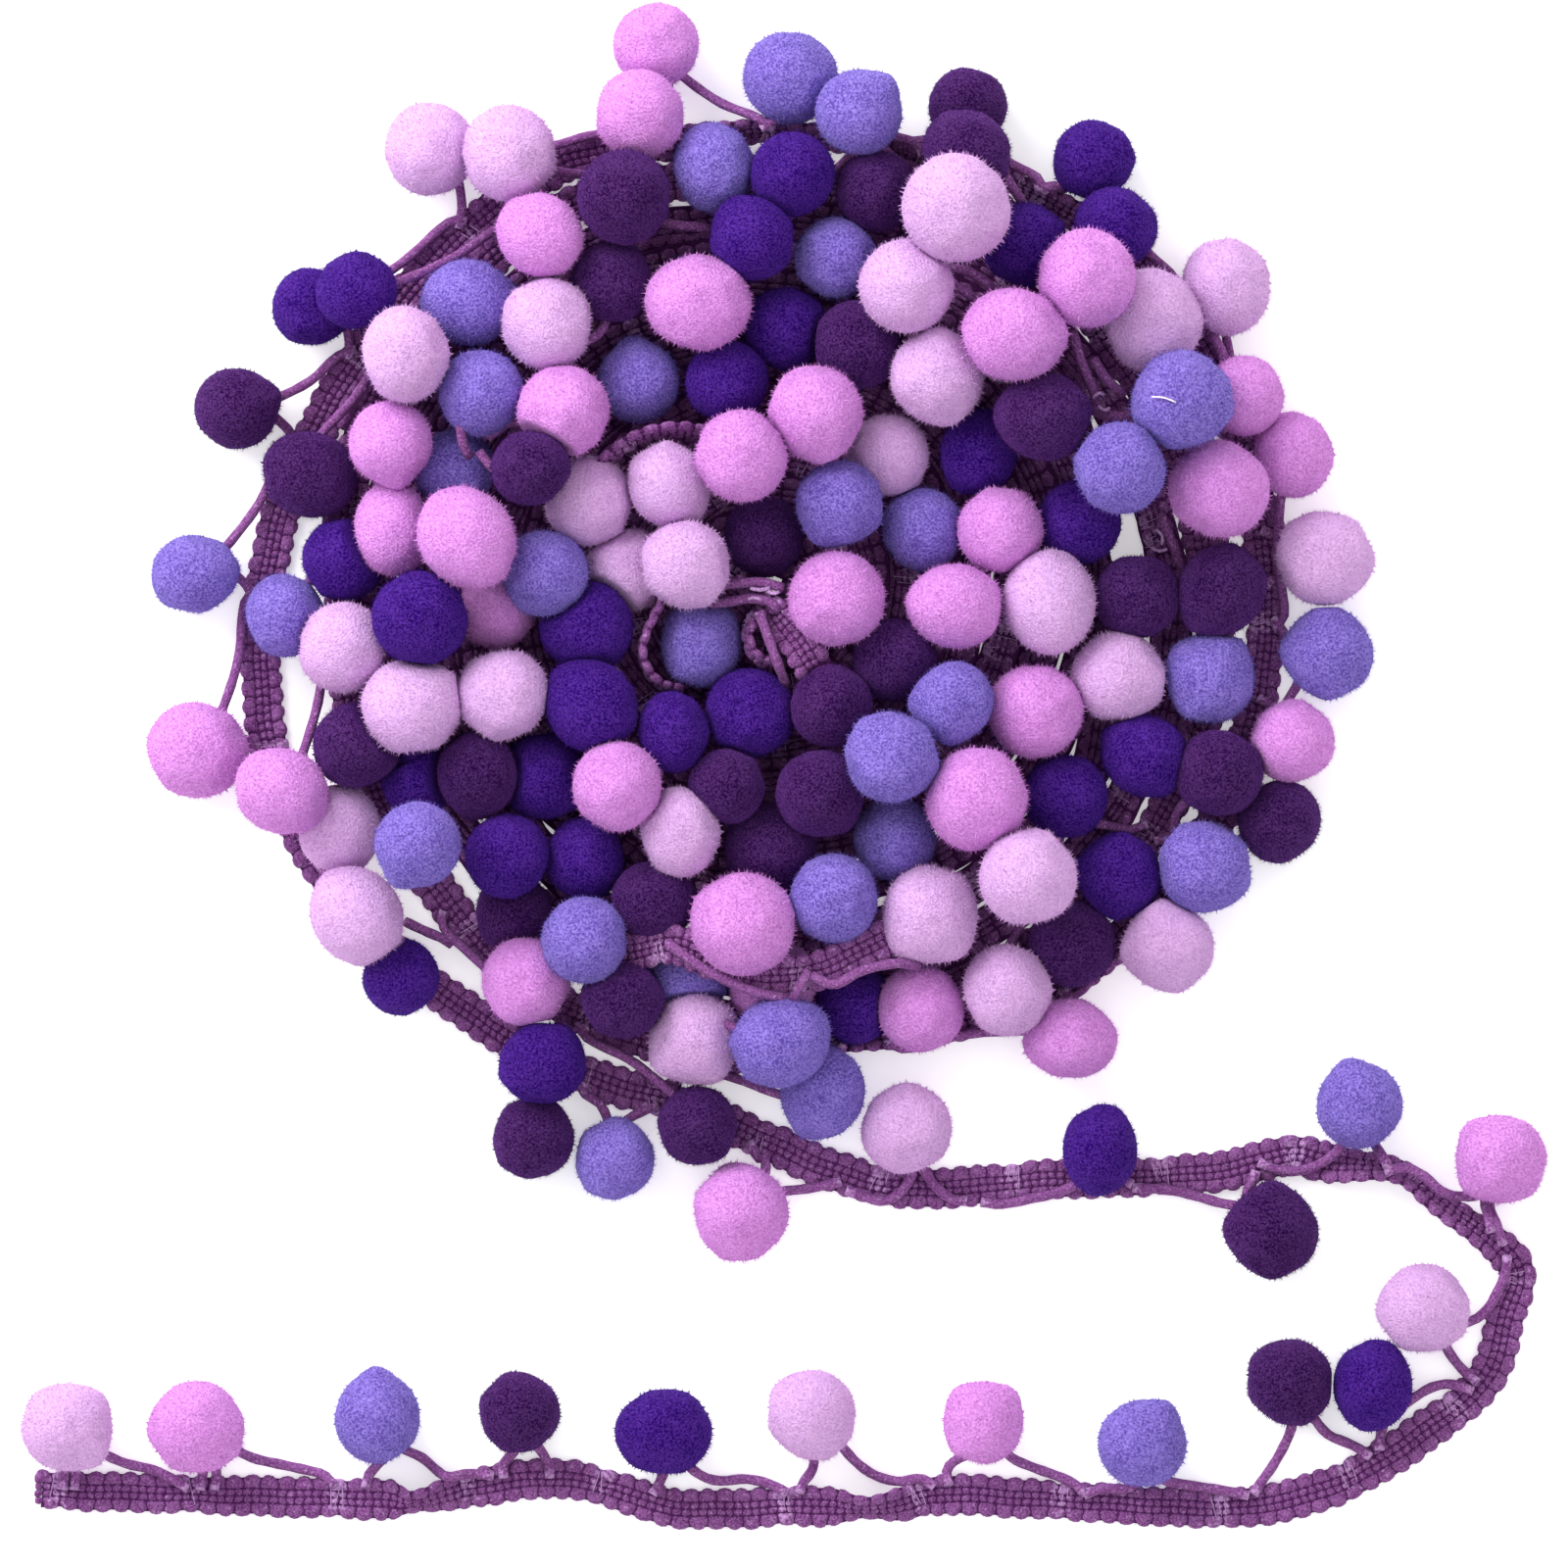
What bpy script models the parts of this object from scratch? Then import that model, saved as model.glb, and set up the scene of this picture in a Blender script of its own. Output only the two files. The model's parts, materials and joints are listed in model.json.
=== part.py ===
"""Pompom fringe trim, thrown down as a heaped round coil with a loose tail.

The trim is a braided heading tape with one drop cord that zigzags out of its edge and back.
Each bend of the drop cord carries a pompom, in an order of five colours that repeats.
The loose tail is modelled piece by piece. The coil is one solid of its wound form, and the
pompoms that stand out at its rim are solids of their own.

Metres, +Z up. The origin is the middle of the coil, on the surface that the trim lies on.
Tables are in millimetres and degrees, with bearings counted anticlockwise from +X.
"""

from math import cos, hypot, pi, radians, sin, sqrt

import bmesh
import bpy
import numpy as np
from mathutils import Vector

MM = 0.001

# The trim's own sizes
TAPE_WIDTH = 10.0
TAPE_THICKNESS = 2.4
CORD_RADIUS = 1.05
POMPOM_RADIUS = 9.8  # to the tips of the pile
SOLID_SHARE = 0.94  # a pompom's firm body, as a share of its radius
GAP = 0.35  # between two pieces that touch
BALL_GAP = 0.1  # between two round bodies, whose flats add the rest

# Layout of the low-resolution solids
BALL_SEGMENTS = 11
BALL_RINGS = 7
COIL_SPOKES = 72
COIL_RINGS = 14
COIL_RING_STEP = 7.5
LAYERS_HEIGHT = 5.0  # of the tape turns that lie over each other under the heap
BRIM_WIDTH = 14.0  # of the flat outer turns around the heap
HEAP_MARGIN = 5.0  # of low ground around each pompom that stands out
TAPE_STEP = 8.0  # between the tail tape's sections
CURVE_STEPS = 24  # between two rows of a route
CORD_ROUNDNESS = 2  # extra points to a quarter of the drop cord's section
NEARLY_FLAT = 1  # degrees between faces that are joined into one
DOME_REACH = 1.7  # how far a buried pompom's dome spreads in the heap, as a share of its radius

COLOURS = (
    ("light_lilac", (0.79, 0.47, 0.85)),
    ("orchid", (0.74, 0.30, 0.81)),
    ("periwinkle", (0.24, 0.16, 0.60)),
    ("dark_plum", (0.058, 0.014, 0.105)),
    ("royal_violet", (0.060, 0.012, 0.220)),
)
TAPE_COLOUR = (0.23, 0.085, 0.26)
CORD_COLOUR = (0.26, 0.10, 0.30)

# The tail's pompoms, from the free end: where the drop cord leaves the tape before it, as a
# distance along the tape, then the middle of the pompom and its radius.
TAIL = (
    # number, anchor, x, y, radius
    (1, 5, -148.5, -182, 9.9),
    (2, 34, -121, -182, 10.3),
    (3, 65, -82, -180, 9.7),
    (4, 95, -51.5, -178.5, 9.0),
    (5, 124, -20.5, -183, 10.1),
    (6, 164, 11, -179, 9.9),
    (7, 194, 48, -181, 9.0),
    (8, 225, 82, -185.5, 9.7),
    (9, 259, 113.5, -172, 9.5),
    (10, 288, 131.5, -173, 9.2),
    (11, 315, 142, -156.5, 9.9),
    (12, 347, 159, -124.5, 9.9),
    (13, 379, 128.5, -113, 9.5),
    (14, 406, 110, -140, 10.1),
    (15, 435, 73, -122.5, 9.0),
    (16, 467, 31.5, -118, 9.9),
    (17, 496, -4, -135.5, 10.5),
)
TAIL_LAST_ANCHOR = 524

# The route of the tail's tape from its cut end into the coil. Lean is how far the tape stands
# up on one edge there.
ROUTE = (
    # x, y, lean
    (-155.6, -195.5, 0),
    (-121, -196.5, 0),
    (-84, -197.5, 0),
    (-75, -198, 60),
    (-67, -196.5, 35),
    (-61, -195, 0),
    (-45, -193, 0),
    (-33, -195, 0),
    (-17, -199.5, 0),
    (10, -199, 0),
    (22, -199.3, 60),
    (31, -198.5, 30),
    (40, -196.5, 0),
    (67, -198, 0),
    (98, -199.5, 0),
    (112, -198, 0),
    (126, -193.5, 0),
    (142, -183.5, 0),
    (155.5, -172, 0),
    (160.5, -157, 0),
    (162.5, -148, 0),
    (155, -140.5, 40),
    (146, -134, 50),
    (138, -127.5, 55),
    (129, -126, 45),
    (120, -125, 0),
    (114, -123.5, 0),
    (100, -127, 0),
    (80, -128.5, 0),
    (60, -129, 0),
    (44, -130.5, 0),
    (28, -130.5, 0),
    (13, -126, 0),
    (0, -120, 0),
    (-15, -113.5, 0),
)

# The coil's outermost turn of tape, laid clockwise: where its middle runs.
OUTER_TURN = (
    # bearing, distance
    (262, 113.5),
    (235, 112.0),
    (211, 112.5),
    (200, 111.5),
    (190, 108.5),
    (180, 105.5),
    (170, 102.5),
    (160, 99.0),
    (150, 97.0),
    (140, 96.0),
    (130, 96.5),
    (115, 97.5),
    (100, 93.5),
    (90, 94.5),
    (80, 94.0),
    (70, 95.0),
    (60, 99.0),
    (45, 103.5),
    (30, 106.5),
    (0, 108.5),
    (-25, 112.0),
    (-50, 109.5),
    (-64, 105.0),
    (-78, 99.5),
    (-98, 102.5),
)

# Pompoms of the two outer turns, and three that were flung out from a turn further in.
RIM = (
    # number, bearing, distance, radius
    (18, 256, 128, 8.8),
    (19, 248, 129, 9.0),
    (20, 228, 115, 8.4),
    (21, 220, 112.5, 10.4),
    (22, 197, 126, 10.9),
    (23, 179.6, 121.4, 9.2),
    (24, 162, 118, 9.2),
    (25, 148.7, 112.2, 8.7),
    (26, 127.5, 116, 10.0),
    (27, 101, 116.5, 9.3),
    (28, 86.5, 107.5, 10.2),
    (29, 66.2, 110.7, 8.5),
    (30, 51.5, 114.5, 8.8),
    (31, 32, 118, 10.0),
    (32, 13, 117.5, 9.4),
    (33, -7.5, 123, 9.9),
    (34, -25, 123, 9.1),
    (35, -39.5, 100, 9.2),
    (36, -42, 118, 9.9),
    (37, -56, 119, 9.5),
    (38, -83, 111, 9.8),
    (39, 263.5, 118, 8.7),
    (40, 246, 113.5, 9.4),
    (41, 211, 105, 9.5),
    (42, 204, 112, 9.8),
    (43, 184.5, 102, 9.2),
    (44, 167, 99, 9.9),
    (45, 144.5, 106, 8.9),
    (46, 120.5, 105.5, 10.5),
    (47, 104.5, 102.5, 9.8),
    (48, 78, 102, 9.5),
    (49, 64, 101.5, 9.4),
    (50, 44.6, 107.1, 9.0),
    (51, 33.2, 100.6, 10.8),
    (52, 20.6, 110.9, 8.8),
    (53, -12.5, 99, 9.9),
    (54, -23, 107, 9.6),
    (55, -35.5, 80.5, 9.2),
    (56, -59, 103, 9.7),
    (57, -69.5, 98.5, 9.5),
    (58, -87.5, 99.5, 10.3),
    (76, 2, 121.5, 10.5),
    (77, -17, 119.5, 9.2),
    (78, -33, 114, 10.1),
)

# The pompoms of the turns further in have rolled into a heap. Layer says how many layers of other
# pompoms each of them lies on.
HEAP = (
    # number, x, y, radius, layer
    (59, -29.4, -90.3, 9.4, 1),
    (60, -37.5, -60, 9.0, 0),
    (61, -14, -98.5, 10.1, -0.5),
    (62, -50, -86.5, 9.7, 0),
    (63, -46, 1, 9.4, 2),
    (64, -49, 23.5, 8.8, 4),
    (65, -78, -33, 9.3, 0),
    (66, -45.5, 54.5, 10.1, 2),
    (67, -47, 73.5, 9.4, 2),
    (68, -9.8, 88, 9.6, 0),
    (69, 25, 83, 8.8, 0),
    (70, 57, 71.5, 9.4, 0),
    (71, 53, 51, 9.3, 0),
    (72, 98.5, 19, 10.9, 1),
    (73, -14, 60, 9.3, 0),
    (74, 46, -46, 9.3, 0),
    (75, 37, -73, 9.3, 0),
    (79, -52.5, -72, 8.8, -1),
    (80, -73, -43, 8.4, 0),
    (81, -89, -15, 9.9, 1),
    (82, -79, 29, 9.2, 2),
    (83, -62, 59, 9.9, 0),
    (84, -29, 81.5, 10.3, 2),
    (85, 7, 86.5, 9.2, 1),
    (86, 31.5, 62.5, 10.3, 3),
    (87, 70, 64, 10.7, 3),
    (88, 90, 38, 10.9, 3),
    (89, 99, -2.5, 9.9, 0),
    (90, 82.5, -38, 9.4, 0),
    (91, 57.5, -64, 10.7, 4),
    (92, 3, -87, 9.7, -1),
    (93, -15.5, -85.5, 9.2, -1),
    (94, -22.5, -69, 9.4, 1),
    (95, -46.5, -42.5, 9.4, 0),
    (96, -74.5, -27.5, 10.7, 2),
    (97, -78.5, 10.5, 9.2, 1),
    (98, -65.5, 23.5, 8.8, 0),
    (99, -31.5, 63.5, 9.2, 1),
    (100, -1.5, 72.5, 9.2, 2),
    (101, 42, 79, 11.8, 4),
    (102, 54.5, 52, 10.9, 4),
    (103, 77, 23.5, 10.1, 4),
    (104, 81, -4, 9.4, 0),
    (105, 62, -6, 9.3, 0),
    (106, 36.5, -72, 10.7, 1),
    (107, -3.5, -74, 11.3, 2),
    (108, -37.5, -77.5, 9.4, 2),
    (109, -60.5, -42, 9.2, 1),
    (110, -72.5, -8.5, 10.5, 3),
    (111, -36, -27, 9.3, 0),
    (112, -42, 35.5, 10.1, 3),
    (113, 59, -29, 9.3, 0),
    (114, 37, 43, 9.3, 0),
    (115, 5.5, 53.5, 9.2, 0),
    (116, 38, 43, 10.3, 2),
    (117, 51.5, 10.5, 9.4, 1),
    (118, 41.5, -26.5, 8.8, 3),
    (119, 67, -78.5, 9.4, -1),
    (120, 20.5, -91.5, 8.6, -1),
    (121, -17, -54.4, 9.3, 2),
    (122, -30.5, -44.5, 9.7, 3),
    (123, -73, -57, 9.4, 4),
    (124, -86, -35.5, 9.7, 1),
    (125, -89, 4, 9.2, 0),
    (126, -75.7, 47.8, 10.1, 3),
    (127, -13, 59, 10.7, 2),
    (128, 16.5, 68.5, 9.0, 0),
    (129, 61, 34.5, 10.1, 3),
    (130, 68.5, 12, 9.2, 0),
    (131, 76.5, -21, 10.1, 0),
    (132, 59, -28.5, 10.3, 1),
    (133, 29, -56, 9.0, 0),
    (134, 2.5, -58, 10.1, 0),
    (135, -54, -59.5, 9.2, 1),
    (136, -55, -25, 10.1, 2),
    (137, -56.5, -7, 8.4, 0),
    (138, -59.5, 39.5, 9.4, 2),
    (139, -76, 47, 9.3, 0),
    (140, -7, 42, 9.0, 1),
    (141, 27.5, 26.5, 9.0, 0),
    (142, 42, -6, 9.7, 2),
    (143, 28.5, -38.5, 10.1, 4),
    (144, 13, -46, 9.7, 2),
    (145, -18.5, -33, 8.8, 2),
    (146, -28.5, 2, 9.4, 0),
    (147, -62.5, 8.5, 10.9, 4),
    (148, -26, 42, 9.0, 0),
    (149, 21, 50, 9.7, 1),
    (150, 47, 27, 8.8, 0),
    (151, 62, -5, 10.7, 1),
    (152, 46.5, -47.5, 11.3, 3),
    (153, 16, -68.5, 9.7, 2),
    (154, -7, -44.5, 8.4, 2),
    (155, -37, -10.5, 10.1, 1),
    (156, -19.5, 20, 9.2, 2),
    (157, 12, 35.5, 10.3, 3),
    (158, 35, 10.5, 9.0, 0),
    (159, 15.5, -27.5, 9.0, 2),
    (160, -36, -27.5, 10.3, 2),
    (161, -36.5, 16.5, 9.7, 1),
    (162, -4, 26, 10.1, 4),
    (163, 17, 16, 9.4, 2),
    (164, 29, -17.5, 9.2, 1),
    (165, -2, -29, 9.9, 1),
    (166, -16, 3, 9.7, 3),
    (167, 16.5, -4.5, 10.5, 2),
    (168, -12.5, -14.5, 9.0, 0),
    (169, 1, 9, 8.8, 0),
)
LAYER_RISE = 5.0  # from one layer of pompoms in the heap to the next
HIGHEST_MIDDLE = 35.0  # of any pompom in the heap
FLAT_SPOT = 0.6  # how far a pompom on the surface is pressed flat
STANDS_OUT = 104  # pompoms beyond this distance are solids of their own
LEG_Z = 1.35  # height of a leg's middle
LEG_SIDES = 6
LEG_FLATNESS = 0.95  # a leg's height as a share of its width
LEG_CLEARANCE = 0.45  # between a leg's end and its pompom's body
LEG_INSET = 3.0  # how far a leg reaches in under the brim
SHORTEST_LEG = 0.8
ENTRY_WEDGE = 0.25  # degrees, between the two sides of the step where the tail joins
ENTRY_GAP = 0.2  # degrees, between that step and the tail's end
BASE_Z = 5.0  # height at which the drop cord leaves a pompom
BASE_SPREAD = 16  # degrees, half the angle between its two legs there
ANCHOR_HALF = 1.6  # half the length of tape that an anchor takes


def clear_scene():
    for existing in list(bpy.data.objects):
        bpy.data.objects.remove(existing, do_unlink=True)


def material(name, colour, roughness):
    made = bpy.data.materials.new(name)
    made.use_nodes = True
    shader = made.node_tree.nodes["Principled BSDF"]
    shader.inputs["Base Color"].default_value = (*colour, 1)
    shader.inputs["Roughness"].default_value = roughness
    shader.inputs["Metallic"].default_value = 0
    return made


def add_mesh_object(name, bm, finish):
    """Makes an object from a bmesh in millimetres."""
    bmesh.ops.scale(bm, vec=(MM, MM, MM), verts=bm.verts)
    bmesh.ops.recalc_face_normals(bm, faces=bm.faces)
    mesh = bpy.data.meshes.new(name)
    bm.to_mesh(mesh)
    bm.free()
    mesh.materials.append(finish)
    made = bpy.data.objects.new(name, mesh)
    bpy.context.collection.objects.link(made)
    return made


def smoothed(rows, step):
    """Points every step millimetres along a Catmull-Rom curve through the rows' x and y."""
    rows = np.array(rows, float)
    ends = np.vstack([2 * rows[0] - rows[1], rows, 2 * rows[-1] - rows[-2]])
    fine = []
    for before, start, end, after in zip(ends, ends[1:], ends[2:], ends[3:]):
        for t in np.linspace(0, 1, CURVE_STEPS, endpoint=False):
            fine.append(
                0.5
                * (
                    2 * start
                    + (end - before) * t
                    + (2 * before - 5 * start + 4 * end - after) * t**2
                    + (3 * start - before - 3 * end + after) * t**3
                )
            )
    fine.append(rows[-1])
    fine = np.array(fine)
    run = np.concatenate([[0], np.cumsum(np.hypot(*np.diff(fine[:, :2], axis=0).T))])
    places = np.linspace(0, run[-1], round(run[-1] / step) + 1)
    return places, np.array([np.interp(places, run, column) for column in fine.T]).T


def tape_distance(bearing):
    """How far the outermost turn's middle lies from the coil's middle, at a bearing."""
    table = np.array(OUTER_TURN[::-1], float)
    last = table[-1, 0]
    return np.interp((bearing - last) % -360 + last, table[:, 0], table[:, 1])


def lean_size(lean):
    """Half the width that a leaning tape covers, and its height."""
    wide = TAPE_WIDTH * cos(radians(lean)) + TAPE_THICKNESS * sin(radians(lean))
    high = TAPE_WIDTH * sin(radians(lean)) + TAPE_THICKNESS * cos(radians(lean))
    return wide / 2, high


class TailTape:
    """The tail's route, with places along it."""

    def __init__(self):
        self.run, rows = smoothed(ROUTE, TAPE_STEP)
        self.points = rows[:, :2]
        self.leans = np.clip(rows[:, 2], 0, None)
        along = np.gradient(self.points, axis=0)
        along /= np.linalg.norm(along, axis=1)[:, None]
        self.sides = np.stack([-along[:, 1], along[:, 0]], axis=1)
        joint = radians(OUTER_TURN[0][0] + ENTRY_WEDGE + ENTRY_GAP)
        self.sides[-1] = (-cos(joint), -sin(joint))

    def at(self, distance):
        """The middle, the side direction and the lean at a distance from the free end."""
        middle = [np.interp(distance, self.run, self.points[:, i]) for i in (0, 1)]
        side = np.array([np.interp(distance, self.run, self.sides[:, i]) for i in (0, 1)])
        lean = np.interp(distance, self.run, self.leans)
        return np.array(middle), side / np.linalg.norm(side), lean


def resting_height(x, y, body, tape):
    """The height of a firm ball's middle when it rests on the surface, a tape or a tape's edge."""
    distance = hypot(x, y)
    bearing = np.degrees(np.arctan2(y, x))
    edge = distance - tape_distance(bearing) - TAPE_WIDTH / 2
    under_heap = distance < tape_distance(bearing) - BRIM_WIDTH
    supports = [(edge, LAYERS_HEIGHT if under_heap else TAPE_THICKNESS)]
    for point, lean in zip(tape.points, tape.leans):
        half, high = lean_size(lean)
        supports.append((hypot(x - point[0], y - point[1]) - half, high))
    height = body - FLAT_SPOT
    for beyond, top in supports:
        if beyond < body:
            height = max(height, top + GAP + sqrt(body**2 - max(beyond, 0) ** 2))
    return height


def placed_by_hand(tape):
    """{number: (x, y, z, radius)} of the tail's and the rim's pompoms, each on what lies below."""
    rows = [(number, x, y, radius) for number, _, x, y, radius in TAIL]
    for number, bearing, distance, radius in RIM:
        angle = radians(bearing)
        rows.append((number, distance * cos(angle), distance * sin(angle), radius))
    placed = {}
    for number, x, y, radius in rows:
        body = radius * SOLID_SHARE
        z = resting_height(x, y, body, tape)
        for ox, oy, oz, other in sorted(placed.values(), key=lambda ball: ball[2]):
            apart = body + other * SOLID_SHARE + BALL_GAP
            across = hypot(x - ox, y - oy)
            if across < apart and abs(z - oz) < sqrt(apart**2 - across**2):
                z = oz + sqrt(apart**2 - across**2)
        placed[number] = (x, y, z, radius)
    return placed


def heaped():
    """{number: (x, y, z, radius)} of the heap's pompoms."""
    found = {}
    for number, x, y, radius, layer in HEAP:
        height = radius + LAYERS_HEIGHT + layer * LAYER_RISE
        found[number] = (x, y, min(height, HIGHEST_MIDDLE), radius)
    return found


def skin(bm, rings):
    """A closed tube through rings of points, each ring with as many points as the others."""
    loops = [[bm.verts.new(point) for point in ring] for ring in rings]
    for one, other in zip(loops, loops[1:]):
        for i in range(len(one)):
            j = (i + 1) % len(one)
            bm.faces.new((one[i], one[j], other[j], other[i]))
    bm.faces.new(loops[0][::-1])
    bm.faces.new(loops[-1])


def add_heading_tape(tape, finish):
    """The tail's tape: a strip that lies flat, and stands up on one edge where it twists."""
    rings = []
    for point, side, lean in zip(tape.points, tape.sides, tape.leans):
        turn = radians(lean)
        _, high = lean_size(lean)
        ring = []
        for across, up in ((-1, -1), (1, -1), (1, 1), (-1, 1)):
            a = across * TAPE_WIDTH / 2
            u = up * TAPE_THICKNESS / 2
            outward = a * cos(turn) - u * sin(turn)
            height = a * sin(turn) + u * cos(turn) + high / 2
            ring.append((*(point + side * outward), height))
        rings.append(ring)
    bm = bmesh.new()
    skin(bm, rings)
    return add_mesh_object("heading_tape", bm, finish)


def add_drop_cord(tape, placed, finish):
    """The tail's drop cord: one line from anchor to pompom to anchor, above the tape's edge."""
    route = []
    anchors = [row[1] for row in TAIL] + [TAIL_LAST_ANCHOR]
    lift = 2 * GAP + CORD_RADIUS  # a bent tube is a little wider at its bends
    for place, (number, *_) in enumerate(TAIL):
        x, y, z, radius = placed[number]
        ends = []
        for anchor, shift in ((anchors[place], ANCHOR_HALF), (anchors[place + 1], -ANCHOR_HALF)):
            middle, side, lean = tape.at(anchor + shift)
            half, high = lean_size(lean)
            beyond = np.dot(np.array([x, y]) - middle, side)
            inset = np.clip(abs(beyond) - radius, CORD_RADIUS - half, half - CORD_RADIUS)
            ends.append((*(middle + side * np.sign(beyond) * inset), high + lift))
        base = (np.array(ends[0]) + np.array(ends[1]))[:2] / 2 - (x, y)
        facing = np.arctan2(base[1], base[0])
        firm = radius * SOLID_SHARE + lift
        out = sqrt(firm**2 - (z - BASE_Z) ** 2)
        turn = 1 if np.cross(base, np.array(ends[1])[:2] - np.array(ends[0])[:2]) > 0 else -1
        route.append(ends[0])
        for spread in (-BASE_SPREAD, BASE_SPREAD):
            angle = facing + turn * radians(spread)
            route.append((x + out * cos(angle), y + out * sin(angle), BASE_Z))
        route.append(ends[1])
    curve = bpy.data.curves.new("drop_cord", "CURVE")
    curve.dimensions = "3D"
    curve.bevel_depth = CORD_RADIUS * MM
    curve.bevel_resolution = CORD_ROUNDNESS
    curve.use_fill_caps = True
    spline = curve.splines.new("POLY")
    spline.points.add(len(route) - 1)
    for point, place in zip(spline.points, route):
        point.co = (*(Vector(place) * MM), 1)
    curve.materials.append(finish)
    made = bpy.data.objects.new("drop_cord", curve)
    bpy.context.collection.objects.link(made)
    return made


def heap_height(x, y, heap, outstanding):
    """The coil's top at a place: its highest pompom there, kept below those that stand out."""
    distance = hypot(x, y)
    flat = distance > tape_distance(np.degrees(np.arctan2(y, x))) - BRIM_WIDTH
    height = TAPE_THICKNESS if flat else LAYERS_HEIGHT
    for cx, cy, cz, radius in heap:
        across = hypot(x - cx, y - cy)
        body = radius * SOLID_SHARE
        if across < body * DOME_REACH:
            height = max(height, cz + body - across**2 / (2 * body))
    for cx, cy, cz, radius in outstanding:
        body = radius * SOLID_SHARE + GAP
        across = max(hypot(x - cx, y - cy) - HEAP_MARGIN, 0)
        if across < body:
            height = min(height, max(cz - sqrt(body**2 - across**2) - GAP, TAPE_THICKNESS))
    return height


def add_wound_coil(heap, outstanding, finish):
    """The wound form as one lumpy heap with a flat underside and the outer turns as its brim."""
    first = OUTER_TURN[0][0]
    last = first - 360 + ENTRY_WEDGE
    bm = bmesh.new()
    top = bm.verts.new((0, 0, heap_height(0, 0, heap, outstanding)))
    spokes = []
    for bearing in np.linspace(first, last, COIL_SPOKES):
        edge = np.interp(bearing, *np.array(OUTER_TURN[::-1], float).T) + TAPE_WIDTH / 2
        distances = [COIL_RING_STEP * (i + 1) for i in range(COIL_RINGS - 2)]
        distances += [(distances[-1] + edge) / 2, edge]
        angle = radians(bearing)
        spoke = []
        for distance in distances:
            x, y = distance * cos(angle), distance * sin(angle)
            spoke.append(bm.verts.new((x, y, heap_height(x, y, heap, outstanding))))
        spoke.append(bm.verts.new((spoke[-1].co.x, spoke[-1].co.y, 0)))
        spokes.append(spoke)
    for one, other in zip(spokes, spokes[1:] + spokes[:1]):
        bm.faces.new((top, one[0], other[0]))
        for i in range(len(one) - 1):
            bm.faces.new((one[i], one[i + 1], other[i + 1], other[i]))
    bm.faces.new([spoke[-1] for spoke in spokes])
    return add_mesh_object("wound_coil", bm, finish)


def hide_guide(made):
    made.hide_render = True
    made.display_type = "WIRE"
    return made


def add_pompom_seats(outstanding):
    """The bodies of the outstanding pompoms, a little larger, which leave their seats in the heap."""
    seats = bpy.data.collections.new("pompom_seats")
    bpy.context.scene.collection.children.link(seats)
    for x, y, z, radius in outstanding:
        bm = bmesh.new()
        body = radius * SOLID_SHARE + GAP
        bmesh.ops.create_uvsphere(bm, u_segments=BALL_SEGMENTS, v_segments=BALL_RINGS, radius=body)
        bmesh.ops.translate(bm, vec=(x, y, z), verts=bm.verts)
        seat = add_mesh_object("pompom_seat_guide", bm, bpy.data.materials["drop_cord"])
        bpy.context.collection.objects.unlink(seat)
        seats.objects.link(hide_guide(seat))
    return seats


def add_coil_legs(outstanding):
    """Short ends of drop cord that run out from under the brim to the pompoms beyond it."""
    bm = bmesh.new()
    for x, y, z, radius in outstanding:
        distance = hypot(x, y)
        angle = np.arctan2(y, x)
        edge = tape_distance(np.degrees(angle)) + TAPE_WIDTH / 2
        firm = radius * SOLID_SHARE + LEG_CLEARANCE
        low = z - LEG_Z - CORD_RADIUS
        end = distance - sqrt(firm**2 - low**2) if low < firm else distance
        if z > radius or end - edge < SHORTEST_LEG:
            continue
        rings = []
        for out in (edge - LEG_INSET, end):
            ring = []
            for i in range(LEG_SIDES):
                around = 2 * pi * i / LEG_SIDES
                across = CORD_RADIUS * cos(around)
                ring.append(
                    (
                        out * cos(angle) - across * sin(angle),
                        out * sin(angle) + across * cos(angle),
                        LEG_Z + CORD_RADIUS * sin(around) * LEG_FLATNESS,
                    )
                )
            rings.append(ring)
        skin(bm, rings)
    return hide_guide(add_mesh_object("coil_legs_guide", bm, bpy.data.materials["drop_cord"]))


def add_pompom(number, ball, finish):
    """One pompom's firm body, pressed flat where it rests on the surface."""
    x, y, z, radius = ball
    body = radius * SOLID_SHARE
    bm = bmesh.new()
    bmesh.ops.create_uvsphere(bm, u_segments=BALL_SEGMENTS, v_segments=BALL_RINGS, radius=body)
    for vert in bm.verts:
        vert.co.z = max(vert.co.z, -z)
    bmesh.ops.dissolve_limit(bm, angle_limit=radians(NEARLY_FLAT), verts=bm.verts, edges=bm.edges)
    bmesh.ops.translate(bm, vec=(x, y, z), verts=bm.verts)
    made = add_mesh_object(f"pompom_{number:02d}", bm, finish)
    made.data.shade_smooth()
    return made


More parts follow.
